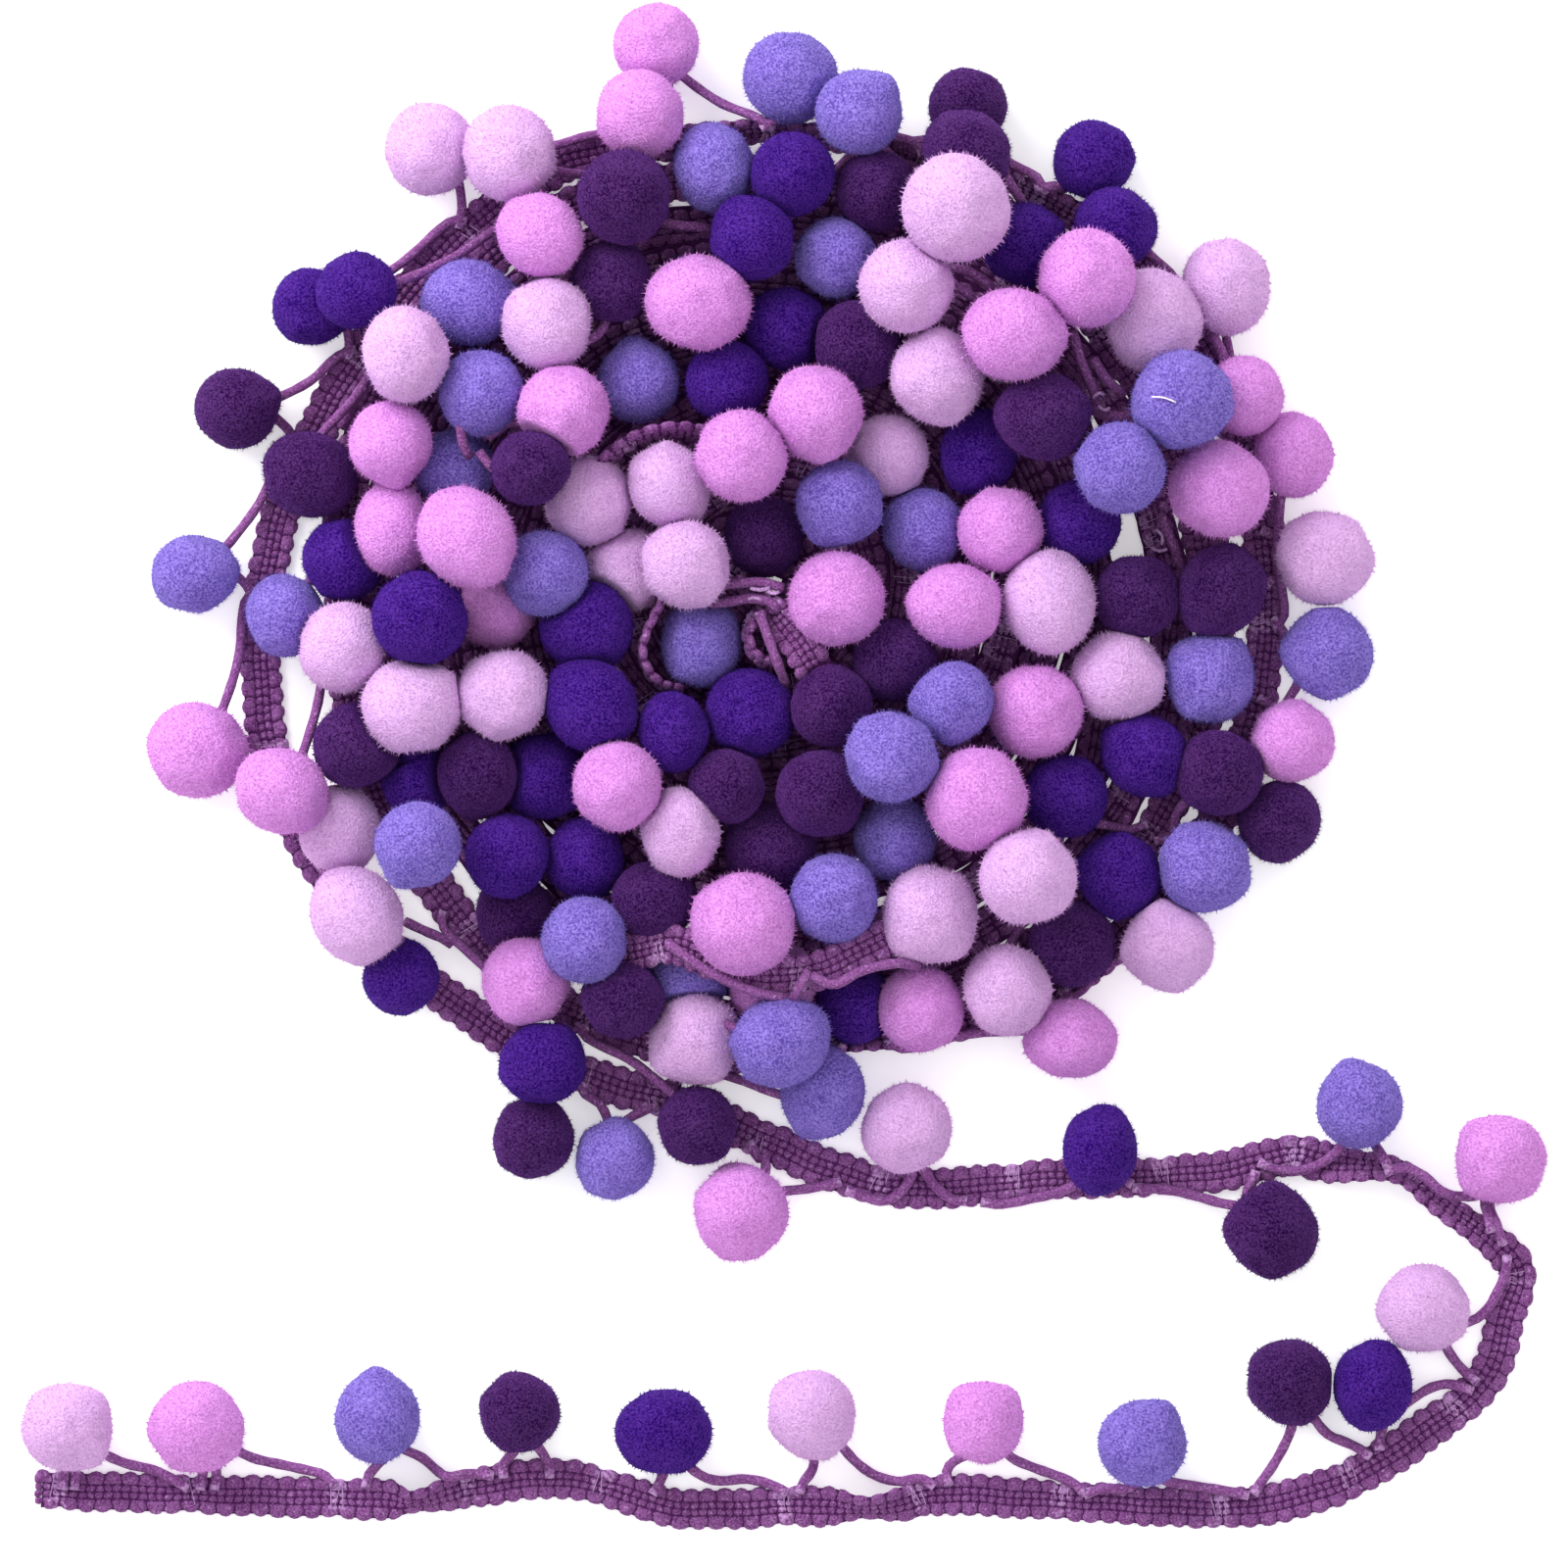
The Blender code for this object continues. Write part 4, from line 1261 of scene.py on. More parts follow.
# %% A tube round a smooth line
FINE_TUBE = (1.5, 8)  # the step from ring to ring, and the points in a ring
SWELL = 0.05  # how much thicker or thinner a ring gets, as a share of the radius
LOWEST_CORD = 0.03  # so that no cord dips through the table


def tube(route, radius, step, sides):
    """Rings of points round a smooth line through the route's rows of x, y and z, none of them
    below the table."""
    _, line = smoothed(route, step)
    along = np.gradient(line, axis=0)
    along /= np.linalg.norm(along, axis=1)[:, None]
    flat = np.stack([-along[:, 1], along[:, 0], np.zeros(len(along))], axis=1)
    flat /= np.maximum(np.linalg.norm(flat, axis=1), 1e-6)[:, None]
    upward = np.cross(along, flat)
    around = np.arange(sides) * 2 * pi / sides
    swell = 1 + SWELL * np.sin(np.arange(len(line)) * 1.9 + line[0, 0])
    size = radius * swell[:, None, None]
    rings = (
        line[:, None]
        + flat[:, None] * size * np.cos(around)[None, :, None]
        + upward[:, None] * size * np.sin(around)[None, :, None]
    )
    rings[:, :, 2] = np.maximum(rings[:, :, 2], LOWEST_CORD)
    return rings


def tube_mesh(name, tubes, finish, bound_length=0.0):
    """One object from several tubes, with their ends closed. The first bound_length of each is
    marked as bound with thread."""
    points, faces, marks = [], [], []
    offset = 0
    for rings in tubes:
        count, sides, _ = rings.shape
        points.append(rings.reshape(-1, 3))
        middles = rings.mean(axis=1)
        run = np.concatenate([[0], np.cumsum(np.linalg.norm(np.diff(middles, axis=0), axis=1))])
        share = np.clip(1.4 - run / max(bound_length, 0.1), 0, 1) if bound_length else run * 0
        marks.append(np.repeat(share, sides))
        for i in range(count - 1):
            for j in range(sides):
                k = (j + 1) % sides
                low, high = offset + i * sides, offset + (i + 1) * sides
                faces.append((low + j, low + k, high + k, high + j))
        faces.append(tuple(offset + j for j in reversed(range(sides))))
        faces.append(tuple(offset + (count - 1) * sides + j for j in range(sides)))
        offset += count * sides
    mesh = bpy.data.meshes.new(name)
    mesh.from_pydata((np.vstack(points) * MM).tolist(), [], faces)
    mesh.shade_smooth()
    mesh.materials.append(finish)
    made = bpy.data.objects.new(name, mesh)
    scene.collection.objects.link(made)
    mark_binding(made, np.concatenate(marks))
    return made


print("tube() ready")

# %% A leg of drop cord from an anchor to its pompom
FOOT = (-1.2, 3.4, 0.35)  # on from its anchor, in from the tape's edge, up in cord radii
CROSSING = (2.2, 0.9, 0.55)  # the same where the leg crosses the edge
LEG_SPREAD = 14  # degrees round its pompom
ENTRY = (0.9, -0.3)  # where it goes into the pile: out from the middle and up, in pompom radii
ENTRY_DEPTH = 0.5  # where it ends in the pile: out from the middle, in pompom radii
ENTRY_RISE = 0.5  # how much higher that is
HANGING_FOOT = 0.4  # up from the tape, in cord radii
UNDERSIDE = (0.45, -0.85)  # where a hanging leg goes into the pile, in pompom radii
HANGING_END = -0.4  # the height of its end


def leg(line, anchor, way, ball, sag):
    """The route of one leg. way is 1 where the leg comes from the anchor before its pompom, and
    -1 where it comes back to the anchor after it."""
    bx, by, bz, radius = ball
    x, y, side_x, side_y, lean, height = line.at(anchor)
    middle, side = np.array([x, y]), np.array([side_x, side_y])
    along = np.array([side_y, -side_x]) * way
    half, high = lean_size(lean)
    top = height + high / 2
    out = np.sign(np.dot(np.array([bx, by]) - middle, side)) or 1.0
    start = middle + along * FOOT[0] + side * out * (half - FOOT[1])
    edge = middle + along * CROSSING[0] + side * out * (half - CROSSING[1])
    away = edge - (bx, by)
    bearing = np.arctan2(away[1], away[0])
    bearing += np.sign(np.cross(away, along)) * radians(LEG_SPREAD)
    around = np.array([cos(bearing), sin(bearing)])
    entry = np.array([bx, by]) + around * radius * ENTRY[0]
    deep = np.array([bx, by]) + around * radius * ENTRY_DEPTH
    entry_z = max(bz + radius * ENTRY[1], CORD_RADIUS)
    between = (edge + entry) / 2 - side * out * sag
    return [
        (*start, top + CORD_RADIUS * FOOT[2]),
        (*edge, top + CORD_RADIUS * CROSSING[2]),
        (*between, max((top + entry_z) / 2, CORD_RADIUS + 0.3)),
        (*entry, entry_z),
        (*deep, entry_z + ENTRY_RISE),
    ]


def hanging_leg(line, anchor, ball, bearing):
    """The route of a leg in the heap, up from the tape into the underside of its pompom."""
    bx, by, bz, radius = ball
    x, y, _, _, lean, height = line.at(anchor)
    under = np.array([bx, by]) + np.array([cos(bearing), sin(bearing)]) * radius * UNDERSIDE[0]
    top = height + lean_size(lean)[1] / 2
    low = bz + radius * UNDERSIDE[1]
    return [
        (x, y, top + CORD_RADIUS * HANGING_FOOT),
        (*((2 * np.array([x, y]) + under) / 3), (2 * top + low) / 3),
        (*under, low),
        (*((np.array([bx, by]) + under) / 2), bz + radius * HANGING_END),
    ]


print("leg() ready")

# %% All legs of the tail
# Each leg of the tail, from where it lies on the tape to where it goes into its pompom.
TAIL_LEGS = (
    # number of the pompom, places as x, y
    (1, ((-149.5, -195.5), (-149, -192.5), (-148.5, -188))),
    (1, ((-147, -195.5), (-146.8, -192.5), (-146.5, -188))),
    (1, ((-122.5, -195.2), (-127.5, -192.3), (-131, -191), (-136, -189.8), (-141, -187.5))),
    (2, ((-120, -195.5), (-119.5, -192.5), (-119, -188))),
    (2, ((-117, -195.5), (-116.5, -192.5), (-117, -188))),
    (
        2,
        ((-91, -194.8), (-93.5, -192.3), (-97, -191.3), (-103, -190), (-108.5, -188.7), (-113, -186.5)),
    ),
    (3, ((-84.5, -195), (-83.8, -192.3), (-82.3, -190.5), (-80, -187.5))),
    (3, ((-57, -192.5), (-62, -192), (-67, -192.6), (-69.8, -190.8), (-72.5, -188.5), (-77, -186.3))),
    (4, ((-54.8, -193), (-55, -190), (-53.4, -188.2), (-51.5, -185.5))),
    (4, ((-45, -193), (-45.2, -190.3), (-46.3, -188), (-48, -185.5))),
    (5, ((-23, -196.5), (-21.8, -194.6), (-20.8, -192.5), (-20, -189))),
    (5, ((6, -196.2), (2, -194.2), (-3, -193.2), (-8, -193.6), (-11.5, -192.9), (-15, -190.5))),
    (6, ((8.5, -196.2), (9.4, -193.9), (11.2, -191.5), (11.7, -189), (11, -186))),
    (6, ((37.5, -194.8), (34.5, -193), (30, -193.7), (25, -192.5), (21, -189.8), (17.5, -186))),
    (7, ((40.6, -194.5), (40.2, -191.2), (42, -189.2), (45, -187.5))),
    (7, ((70, -196.5), (67.5, -194.2), (64, -192.6), (59, -190.8), (54, -188.5))),
    (8, ((69.5, -196.5), (74, -195.2), (79, -195.2), (82, -192))),
    (8, ((105, -196.8), (101, -195.9), (96, -195.1), (91, -194.3), (86, -193))),
    (9, ((106, -196.5), (107.5, -194), (110, -190.5), (112.3, -186.5), (114, -182.5), (114.5, -178))),
    (9, ((131, -188.5), (128.5, -186.6), (125.5, -185.2), (122.5, -184), (120.3, -182), (118, -178.5))),
    (10, ((133, -187), (133.1, -184.3), (133.8, -181.5), (133.5, -178))),
    (10, ((153, -174.3), (150.5, -173.4), (147.5, -172.8), (144, -173.6), (141, -175.3), (137, -177.5))),
    (11, ((154, -172.5), (151, -169.9), (148.8, -167.3), (147, -164.5), (145, -161))),
    (11, ((160.3, -145.5), (160, -149), (158.3, -153), (156.3, -156.5), (153.5, -158.9), (149, -160))),
    (12, ((159.3, -142.8), (158, -138.5), (156.7, -135), (157, -131))),
    (12, ((157, -140.3), (156.3, -137), (155.6, -134), (156, -130.5))),
    (12, ((134, -127.3), (138.5, -126.3), (142.5, -128.2), (146.5, -131.6), (150.5, -132.5), (155, -132))),
    (13, ((134.8, -126.3), (133.6, -124), (132, -121.5), (130.5, -118.5))),
    (13, ((107, -125.2), (110.5, -126.7), (115, -127.2), (120, -125.7), (124, -122.8), (126, -119.5))),
    (14, ((106.5, -127), (105.7, -129.6), (104.3, -132), (106, -135))),
    (14, ((80, -130.7), (84, -130.9), (89, -131.4), (94, -132.6), (98.5, -133.9), (103.5, -135))),
    (15, ((80, -130), (78, -128.8), (75.5, -126))),
    (15, ((47.5, -133.8), (52, -134.2), (58, -133.1), (64, -131.7), (68.5, -129.5), (70.5, -127))),
    (16, ((44.5, -133.6), (41, -133), (38, -130.7), (35.7, -127.7), (33.5, -124))),
    (16, ((18.5, -131.2), (22.5, -132.6), (26.5, -133.6), (29.5, -132.2), (31.7, -129.8), (33, -126))),
    (17, ((17.5, -129.3), (13.5, -130.3), (9.5, -131), (5.5, -131.4), (1.5, -132))),
)
BOUND_LENGTH = 1.5  # of a leg's foot under thread
LAST_SAG = 1.6  # of the tail's last leg
EDGE_SLOPE = 3.0  # across the tape's edge, where a leg comes down to the table


def drawn_leg(ball, places):
    """The route of a leg through places along it, over the tape or just over the table."""
    bx, by, bz, radius = ball
    deep = max(bz + radius * ENTRY[1], CORD_RADIUS)
    route = []
    for i, (x, y) in enumerate(places):
        beside = np.hypot(*(tail_line.points - (x, y)).T)
        half, high = lean_size(tail_line.leans[beside.argmin()])
        over = np.clip(1 - (beside.min() - half + EDGE_SLOPE / 2) / EDGE_SLOPE, 0, 1)
        share = i / (len(places) - 1)
        on_tape = CORD_RADIUS + (high - CORD_RADIUS * 0.5) * over
        route.append((x, y, max(on_tape, CORD_RADIUS + (deep - CORD_RADIUS) * share**3)))
    middle = (np.array([bx, by]) + places[-1]) / 2
    return [*route, (*middle, deep + ENTRY_RISE)]


tail_routes = [drawn_leg(balls[number], places) for number, places in TAIL_LEGS]
tail_routes.append(leg(tail_line, TAIL_LAST_ANCHOR, -1, balls[len(TAIL)], LAST_SAG))
tail_tubes = [tube(route, CORD_RADIUS, *FINE_TUBE) for route in tail_routes]
tail_cord = tube_mesh("tail_drop_cord", tail_tubes, cord_finish, BOUND_LENGTH)
print("tail drop cord:", triangles(tail_cord), "triangles")

# %% All legs of the coil
MOST_TURNED = 42.0  # longest way along the tape from a pompom to its second anchor
LESS_TURNED = {19: 12.0}  # the same for a pompom whose second leg is hidden under a neighbour
SAG = 0.2
RETURN_SAG = 1.2
RIM_TUBE = (2.0, 7)  # step and points of the legs round the rim
HEAP_TUBE = (2.5, 6)  # the same of the legs in the heap
FEET_APART = 6.0  # from the nearest place on the tape to each foot of the legs in the heap


def rim_legs(number):
    """The tubes of the two legs of a pompom that hangs on the two outer turns."""
    ball = balls[number]
    start = anchor_turns[number]
    reach = LESS_TURNED.get(number, MOST_TURNED) / (2 * pi * hypot(ball[0], ball[1]))
    end = min(anchor_turns.get(number + 1, start + reach), start + reach)
    routes = (
        leg(*along_spiral(start), 1, ball, SAG),
        leg(*along_spiral(end), -1, ball, RETURN_SAG),
    )
    return [tube(route, CORD_RADIUS, *RIM_TUBE) for route in routes]


def heap_legs(number):
    """The tubes of the two short legs of a pompom in the heap."""
    ball = balls[number]
    line, place = along_spiral(turn_at(*ball[:2]))
    tubes = []
    for way in (-1, 1):
        anchor = np.clip(place + way * FEET_APART, 1, line.run[-1] - 1)
        route = hanging_leg(line, anchor, ball, number + way)
        tubes.append(tube(route, CORD_RADIUS, *HEAP_TUBE))
    return tubes


coil_tubes = []
for number in sorted(set(balls) - {row[0] for row in TAIL}):
    coil_tubes += rim_legs(number) if number in anchor_turns else heap_legs(number)
coil_cord = tube_mesh("coil_drop_cord", coil_tubes, cord_finish, BOUND_LENGTH)
print("coil drop cord:", triangles(coil_cord), "triangles")

# %% Cords that lie on top of the heap
LOOSE_CORDS = (
    # each a row of places: x, y, height
    ((-20, -78, 26), (-12, -83.5, 26), (-4, -87.5, 26), (3, -89.5, 26), (8, -90, 22)),
    ((11, -85, 27), (16, -87, 27), (22, -84, 26.5), (29, -82.5, 26), (34, -83, 22)),
    ((10.5, -84, 27), (8.5, -87.5, 27), (7, -90.5, 25)),
    ((-9, -1.6, 20), (-4, -1.1, 23), (1, -1, 24.5), (5, -2.2, 24)),
    ((-10, -5.6, 19), (-6, -5, 22), (-2, -4.4, 24), (2, -5, 25), (4, -7, 24)),
    ((0, -7.5, 25.5), (1.2, -11, 26.5), (2.5, -14.5, 26.5), (4, -18.5, 25), (5.8, -23, 20)),
    ((-64, 33, 27), (-63.5, 29, 27), (-62, 26, 25)),
    ((-60, 27, 25), (-57, 23.5, 26), (-54, 22, 24)),
    ((-58, 30, 25), (-54, 33, 26), (-50, 33, 24)),
    ((67, 53, 22), (69, 46, 22), (71.5, 40, 20), (72.5, 35, 17)),
    ((71.5, 47, 20), (74, 43, 20), (78, 39, 18)),
    ((72.5, 35.5, 19), (77, 34.5, 20), (82, 35.5, 18)),
    ((33, 66, 24), (40, 63.5, 24), (46, 60, 22)),
    ((-19, 66, 16), (-12, 67, 20), (-5, 66, 20)),
    ((-32, 58, 16), (-34, 53, 18), (-39, 49.5, 18), (-43, 47, 14)),
    ((-22.2, 76.5, 10), (-17.2, 75.6, 14), (-10.4, 75, 12)),
    ((30, 92.9, 6), (34, 93.8, 10), (38.5, 94.1, 12)),
    ((41.4, 66.4, 18), (45.8, 65.1, 20), (50.1, 62, 18)),
    ((97, 52.5, 10), (99.1, 48.3, 12), (100, 44, 12)),
    ((109.6, 17.4, 4.2), (110.9, 13.2, 4.2), (112.4, 9.9, 4.2)),
    ((-76.2, -73.5, 4), (-71.8, -75.6, 4.5), (-68.3, -77.1, 4.2), (-66, -78.5, 3.4)),
    ((-84.6, 41.4, 6), (-87.2, 37.2, 4.5), (-89.7, 32.1, 3.6)),
    ((86, 14, 5), (88, 9, 6), (89.5, 5, 5), (91, 1, 4)),
)
loose_tubes = [tube(route, CORD_RADIUS, *FINE_TUBE) for route in LOOSE_CORDS]
loose_cord = tube_mesh("loose_drop_cord", loose_tubes, cord_finish)
print("cords on the heap:", len(LOOSE_CORDS), "and", triangles(loose_cord), "triangles")

# %% [markdown]
# ## Pompoms
# A pompom is a ball of dense cut pile, trimmed by machine, so it is round but never perfect: it has
# flat spots where the blade passed, one is taller than it is wide, one has a corner or a nub where
# its pile was left longer. Six bodies are modelled from a sphere of equal triangles. Proportional
# editing pulls nubs and corners out, and planes press flat spots in. Then short slivers of pile
# are set all over each, and they make its fuzzy edge.

# %% Model the bodies
BODY_RADIUS = 0.975 * POMPOM_RADIUS  # under the tips of the pile
FLAT_SPOTS = 16
FLAT_CUT = (0.9, 0.97)  # how far out the planes that press them lie, in body radii
FLATNESS = 0.75
LUMPS = 12
LUMP_SHARE = 0.016  # how far a lump stands out, of the distance from the middle
LUMP_REACH = 3.0
BODY_GRAIN = 0.05
SHAPES = (
    # name, size along x, y and z, pulls as (direction, length, reach of the pull)
    ("round", (1.0, 0.985, 0.98), (((0.4, 0.8, 0.3), -0.4, 7),)),
    ("cornered", (1.01, 0.97, 0.97), (((0.86, -0.5, 0.1), 1.9, 7), ((-0.5, 0.8, 0.2), -0.5, 8))),
    ("upright", (0.92, 1.05, 0.96), (((0.5, 0.8, 0.2), 0.7, 6), ((-0.4, -0.9, 0.1), 0.7, 6))),
    (
        "squarish",
        (0.97, 0.99, 0.97),
        (((0.7, 0.7, 0.2), 1.2, 6), ((-0.7, 0.7, 0.1), 1.0, 6), ((-0.6, -0.75, 0.2), 1.1, 6)),
    ),
    ("peaked", (0.99, 0.98, 0.97), (((0.1, 1.0, 0.25), 1.6, 6), ((0.5, -0.85, 0.0), 1.0, 6))),
    ("wide", (1.07, 0.93, 0.95), (((-0.9, 0.4, 0.1), 0.8, 6), ((0.9, 0.2, 0.2), 0.6, 6))),
)


def pull(piece, direction, length, reach):
    """Pulls the point that lies in a direction outwards, and its surroundings along with it."""
    axis = np.array(direction) / np.linalg.norm(direction)
    target = int((points_of(piece) @ axis).argmax())
    choose(piece)
    bpy.ops.object.mode_set(mode="EDIT")
    bpy.ops.mesh.select_mode(type="VERT")
    bpy.ops.mesh.select_all(action="DESELECT")
    bpy.ops.object.mode_set(mode="OBJECT")
    piece.data.vertices[target].select = True
    bpy.ops.object.mode_set(mode="EDIT")
    bpy.ops.transform.translate(
        value=axis * length * MM,
        use_proportional_edit=True,
        proportional_edit_falloff="SMOOTH",
        proportional_size=reach * MM,
    )
    bpy.ops.object.mode_set(mode="OBJECT")


def pompom_body(number, name, size, pulls):
    """A sphere of equal triangles, pulled and pressed out of round."""
    bpy.ops.object.select_all(action="DESELECT")
    bpy.ops.mesh.primitive_ico_sphere_add(subdivisions=4, radius=BODY_RADIUS * MM)
    made = bpy.context.object
    made.name = name
    made.scale = size
    applied(made)
    for direction, length, reach in pulls:
        pull(made, direction, length, reach)
    points = points_of(made)
    chance = np.random.default_rng(number)
    spots = chance.normal(size=(FLAT_SPOTS, 3))
    for spot in spots / np.linalg.norm(spots, axis=1)[:, None]:
        beyond = points @ spot - BODY_RADIUS * chance.uniform(*FLAT_CUT)
        points -= spot * (np.maximum(beyond, 0) * FLATNESS)[:, None]
    lumps = chance.normal(size=(LUMPS, 3))
    for lump in lumps / np.linalg.norm(lumps, axis=1)[:, None]:
        near = np.linalg.norm(points - lump * POMPOM_RADIUS, axis=1)
        points *= 1 + LUMP_SHARE * np.exp(-((near / LUMP_REACH) ** 2))[:, None]
    points += chance.normal(size=points.shape) * BODY_GRAIN
    points *= BODY_RADIUS / np.linalg.norm(points, axis=1).mean()
    move_points(made, points)
    return made


bodies = [pompom_body(i, *shape) for i, shape in enumerate(SHAPES)]
print("triangles in a body:", triangles(bodies[0]))

# %% Set the pile on a body
SLIVERS = 1300
SLIVER_WIDTH = 0.25
SLIVER_LENGTH = (0.35, 1.0)
SLIVER_STRAY = 0.5  # about how far sideways a sliver leans, as a share of its length
SLIVER_ROOT = 0.1  # how deep it starts in the body


def with_pile(body, seed):
    """The body and its slivers of pile as one mesh."""
    chance = np.random.default_rng(seed)
    points = points_of(body)
    corners = np.empty(len(body.data.loops), np.int32)
    body.data.loops.foreach_get("vertex_index", corners)
    faces = corners.reshape(-1, 3)
    picked = faces[chance.permutation(np.arange(SLIVERS) % len(faces))]
    shares = chance.dirichlet((1, 1, 1), SLIVERS)
    base = np.einsum("ij,ijk->ik", shares, points[picked])
    outward = base / np.linalg.norm(base, axis=1)[:, None]
    stray = chance.normal(size=(SLIVERS, 3))
    stray -= outward * np.sum(stray * outward, axis=1)[:, None]
    across = np.cross(outward, stray)
    across /= np.linalg.norm(across, axis=1)[:, None]
    length = chance.uniform(*SLIVER_LENGTH, SLIVERS)[:, None]
    tip = base + (outward + stray * SLIVER_STRAY) * length
    width = across * SLIVER_WIDTH / 2
    roots = base - outward * SLIVER_ROOT
    slivers = np.stack([roots - width, roots + width, tip], axis=1).reshape(-1, 3)
    count = len(points)
    made_faces = faces.tolist() + (np.arange(3 * SLIVERS).reshape(-1, 3) + count).tolist()
    mesh = bpy.data.meshes.new(body.name + "_with_pile")
    mesh.from_pydata((np.vstack([points, slivers]) * MM).tolist(), [], made_faces)
    made = bpy.data.objects.new(mesh.name, mesh)
    scene.collection.objects.link(made)
    return made


pompom_models = [with_pile(body, seed) for seed, body in enumerate(bodies)]
for body in bodies:
    bpy.data.objects.remove(body, do_unlink=True)
print("triangles in a pompom:", triangles(pompom_models[0]))

# %% How a pompom is turned, and how its neighbours press it
ODD_SHAPES = (
    # number, shape, turn in degrees, size along x, size along y
    (1, 3, -90, 1, 1),
    (2, 1, 20, 1, 1),
    (3, 4, 10, 0.96, 1.04),
    (4, 1, -60, 1, 0.96),
    (5, 0, 60, 1.04, 0.95),
    (6, 1, -20, 0.98, 1),
    (7, 3, 0, 1, 1),
    (8, 4, -25, 1, 1),
    (9, 1, -20, 1, 1),
    (10, 2, 0, 1, 1),
    (11, 1, 20, 1, 1),
    (12, 3, 90, 1, 1),
    (13, 4, 25, 1, 1),
    (14, 3, 45, 1, 1),
    (15, 2, 0, 0.96, 1.02),
    (16, 0, 90, 1, 1),
    (17, 1, -60, 1, 1),
    (18, 1, -80, 1, 1),
    (19, 1, -90, 1, 1),
    (22, 0, 0, 1.02, 0.96),
    (23, 1, 60, 1.04, 0.93),
    (24, 4, -61, 1, 0.97),
    (30, 1, 52, 1, 1),
    (31, 0, 30, 0.96, 1.08),
    (32, 0, 0, 0.92, 1),
    (33, 3, 45, 1, 1),
    (36, 3, 60, 1, 1),
    (37, 0, 200, 1.08, 0.93),
    (40, 1, -110, 1.02, 0.96),
    (43, 0, 0, 0.94, 0.99),
    (45, 0, 90, 1, 0.95),
    (48, 4, -35, 1, 1),
    (51, 0, 0, 1.01, 1.07),
    (53, 3, 10, 1, 1),
    (56, 0, 0, 1, 1.04),
    (59, 0, 0, 0.97, 0.9),
    (61, 3, 170, 1, 1),
    (64, 0, 120, 1, 0.92),
    (68, 0, 0, 0.93, 1.03),
    (76, 1, 190, 1, 1),
    (78, 1, 170, 1, 1),
    (88, 1, 35, 1, 1),
    (94, 0, 0, 1, 0.9),
    (96, 1, 80, 1.06, 0.97),
    (97, 0, 0, 0.92, 1.12),
    (99, 0, 60, 0.95, 1),
    (102, 0, 0, 1.06, 0.93),
    (106, 3, 180, 1, 1),
    (107, 0, 150, 1.05, 0.99),
    (121, 0, 0, 0.94, 1.07),
    (126, 0, 0, 0.94, 1.05),
    (127, 0, 45, 1.08, 1),
    (131, 1, 20, 1, 1),
    (143, 1, 180, 1, 1),
    (145, 0, 0, 0.89, 1.01),
    (166, 1, -10, 1, 1),
    (168, 3, 0, 1, 1),
)
ROUND_ONES = 0.5  # share of the other pompoms that are round
TIPPED = 0.6  # most that the other pompoms are tipped either way, in radians
FIRM_RISE = 6.0  # a pompom that lies this much higher keeps its shape, and dents the other
FIRMNESS = 0.8  # how much of its shape it keeps
LOWEST_PILE = 0.05  # so that no pile dips through the table


def turned(points, spin, tip_x, tip_y):
    """The points tipped about x and y and then turned on the spot, in radians."""
    turn_z = np.array([[cos(spin), -sin(spin), 0], [sin(spin), cos(spin), 0], [0, 0, 1]])
    turn_x = np.array([[1, 0, 0], [0, cos(tip_x), -sin(tip_x)], [0, sin(tip_x), cos(tip_x)]])
    turn_y = np.array([[cos(tip_y), 0, sin(tip_y)], [0, 1, 0], [-sin(tip_y), 0, cos(tip_y)]])
    return points @ (turn_z @ turn_x @ turn_y).T


def pressed(points, number):
    """Flattens a pompom where it meets its neighbours and the table."""
    x, y, z, radius = balls[number]
    middle = np.array([x, y, z])
    for other, (ox, oy, oz, reach) in balls.items():
        way = np.array([ox, oy, oz]) - middle
        apart = np.linalg.norm(way)
        if other != number and apart < radius + reach:
            way /= apart
            even = (apart**2 + radius**2 - reach**2) / (2 * apart)
            firm = np.clip((z - oz) / FIRM_RISE, -1, 1)
            if firm > 0:
                plane = even + (min(radius, apart) - even) * firm * FIRMNESS
            else:
                other_even = apart - even
                plane = apart - (other_even + (min(reach, apart) - other_even) * -firm * FIRMNESS)
            beyond = (points - middle) @ way - plane
            points -= way * np.maximum(beyond, 0)[:, None]
    points[:, 2] = np.maximum(points[:, 2], LOWEST_PILE)
    return points


print("pressed() ready")

# %% Place every pompom
chance = np.random.default_rng(11)
model_points = [points_of(model) for model in pompom_models]
placed_parts = {i: [] for i in range(len(PILE))}
odd = {number: row for number, *row in ODD_SHAPES}
for number in sorted(balls):
    x, y, z, radius = balls[number]
    shape = int(chance.integers(0, len(SHAPES)))
    spin = chance.uniform(-pi, pi)
    tips = chance.uniform(-TIPPED, TIPPED, 2)
    sizes = (1, 1)
    if chance.uniform() < ROUND_ONES:
        shape = 0
    if number in odd:
        shape, degrees, *sizes = odd[number]
        spin = radians(degrees)
        tips = (0, 0)
    points = turned(model_points[shape], spin, *tips) * (*sizes, 1) * (radius / POMPOM_RADIUS)
    points += (x, y, z)
    part = pompom_models[shape], pressed(points, number)
    placed_parts[colour_of(number)].append(part)
pompoms = []
for i, (name, *_) in enumerate(PILE):
    pompoms.append(copies("pompoms_" + name, placed_parts[i], pile_finishes[i]))
    print(pompoms[-1].name, len(placed_parts[i]), "pompoms,", triangles(pompoms[-1]), "triangles")
for model in (*pompom_models, fine_braid, plain_braid, ground):
    bpy.data.objects.remove(model, do_unlink=True)

# %% [markdown]
# ## Binding stitches
# Where the drop cord is caught, a few turns of pale thread cross the tape and the cord's foot. Each
# stitch is a hair-thin tube over the top of the tape, so they show as a pale haze more than as
# lines. A few ends of the same thread lie loose, and one snippet of white thread has stayed on a
# pompom.

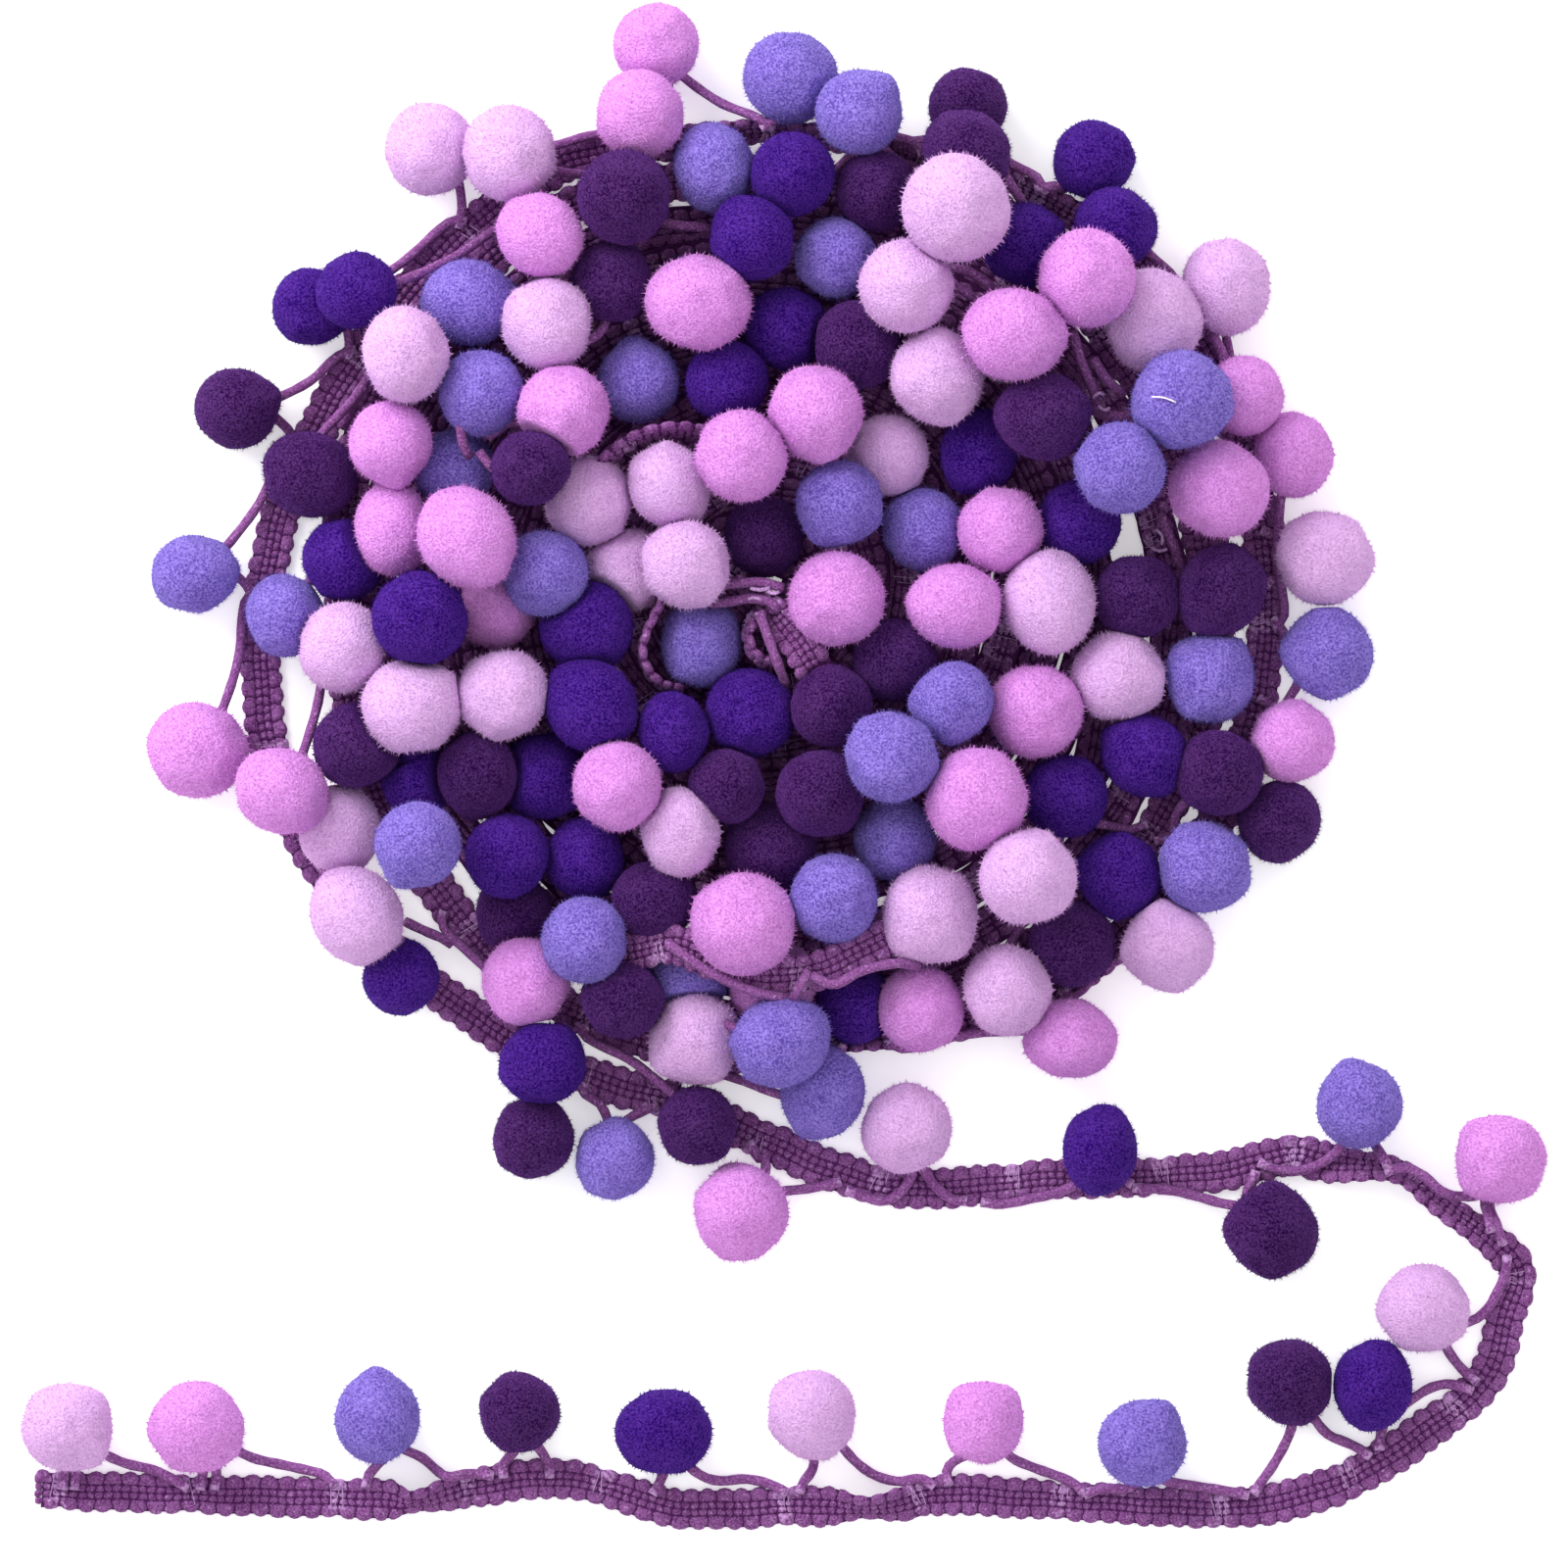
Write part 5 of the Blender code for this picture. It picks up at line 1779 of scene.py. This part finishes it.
# %% Threads that lie loose
LOOSE_THREADS = (
    # radius, then places as x, y, height
    (0.45, ((-2, -2.2, 25.4), (0.2, -2.6, 25.6), (2.2, -2.1, 25.4))),
    (0.45, ((1.8, -2.8, 25.6), (3, -3.4, 25.8), (4.2, -3, 25.5))),
    (0.45, ((-0.8, -7.6, 25.9), (0.4, -8.4, 26.4), (1.2, -9.8, 26.6))),
    (0.4, ((-2.4, -4.6, 25.4), (-1, -4.2, 25.6), (0.4, -4.8, 25.4))),
    (0.4, ((72.6, 36.8, 21.5), (73.8, 35.8, 21.8), (75, 36.4, 21.5))),
    (0.4, ((71.4, 38.6, 21.5), (72.6, 39.6, 21.8), (73.6, 39.2, 21.5))),
    (0.4, ((85, 10.5, 6.8), (86.4, 9, 7.2), (86.2, 7.2, 6.8))),
    (0.4, ((84, 6.5, 6.8), (85.6, 5.8, 7.2), (87.4, 6.2, 6.8))),
)
LOOSE_THREAD_TUBE = (1.0, 5)
STRAY_FIBRE = ((83.8, 38.6, 40.3), (86.4, 38.4, 41.5), (89, 37.4, 42))  # it lies on a pompom
STRAY_RADIUS = 0.2
STRAY_TUBE = (0.8, 5)
threads = [tube(route, radius, *LOOSE_THREAD_TUBE) for radius, route in LOOSE_THREADS]
stray_tube = tube(STRAY_FIBRE, STRAY_RADIUS, *STRAY_TUBE)
print("loose threads:", len(threads), "and one white fibre")

# %% Stitches at every anchor
STITCHES = (-1.3, 0.0, 1.2)  # along the tape, from the anchor
STITCH_REACH = 3.6  # across the tape, from its middle
STITCH_SLANT = 0.3  # most of it, along the tape for each millimetre across
STITCH_SHARE = (0.3, 0.8)  # of the tape's width
SHOULDER = 3.0  # across the tape, where a thread comes down over the scallops
STITCH_TOP = 1.2  # of the thread over the tape's middle
SHOULDER_TOP = 0.8
THREAD_RADIUS = 0.1
THREAD_TUBE = (1.8, 4)


def stitch(line, place, slant, share):
    """A thread over a share of the tape's width from its pompom's edge, a little on the slant."""
    route = []
    ways = STITCH_REACH - 2 * STITCH_REACH * share * np.linspace(0, 1, 5)
    for across in pompom_side(line, place) * ways:
        x, y, side_x, side_y, lean, height = line.at(place + slant * across)
        tilt = radians(lean)
        rise = STITCH_TOP if abs(across) < SHOULDER else SHOULDER_TOP
        out = across * cos(tilt) - rise * sin(tilt)
        up = across * sin(tilt) + rise * cos(tilt) + height
        route.append((x + side_x * out, y + side_y * out, up))
    return tube(route, THREAD_RADIUS, *THREAD_TUBE)


chance = np.random.default_rng(5)
lines = [(tail_line, tail_anchors), (outer_line, outer_anchors), (inner_line, inner_anchors)]
lines += [(line, sprung_anchors[name]) for name, line in sprung_lines.items()]
for line, anchors in lines:
    for anchor in anchors:
        for place in STITCHES:
            place = np.clip(anchor + place, 1, line.run[-1] - 1)
            slant = chance.uniform(-STITCH_SLANT, STITCH_SLANT)
            threads.append(stitch(line, place, slant, chance.uniform(*STITCH_SHARE)))
binding = tube_mesh("binding_stitches", threads, thread_finish)
stray_fibre = tube_mesh("stray_fibre", [stray_tube], stray_finish)
print("binding stitches:", len(threads), "and", triangles(binding), "triangles")

# %% [markdown]
# ## What each piece stands for
# The frame's plain solids are not shown: each is replaced by the piece that stands for it, and every
# piece is parented to the frame's root body.

# %% Parent the pieces and hide the frame's solids
tapes = {
    tail_tape: tail_line,
    outer_tape: outer_line,
    inner_tape: inner_line,
    **dict(zip(sprung, sprung_lines.values())),
}
tape_pieces = [piece for pair in tapes for piece in pair]
cords = (tail_cord, coil_cord, loose_cord)
for piece in (*tape_pieces, *cords, binding, stray_fibre, *pompoms):
    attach(piece, "root")
for piece in tail_tape:
    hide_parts("heading_tape")
for piece in outer_tape:
    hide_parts("wound_coil")
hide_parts("drop_cord")
plain_pompoms = [node for node in frame["nodes"] if node.startswith("pompom_")]
for i, piece in enumerate(pompoms):
    same_colour = [node for node in plain_pompoms if colour_of(int(node.split("_")[1])) == i]
    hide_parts(*same_colour)
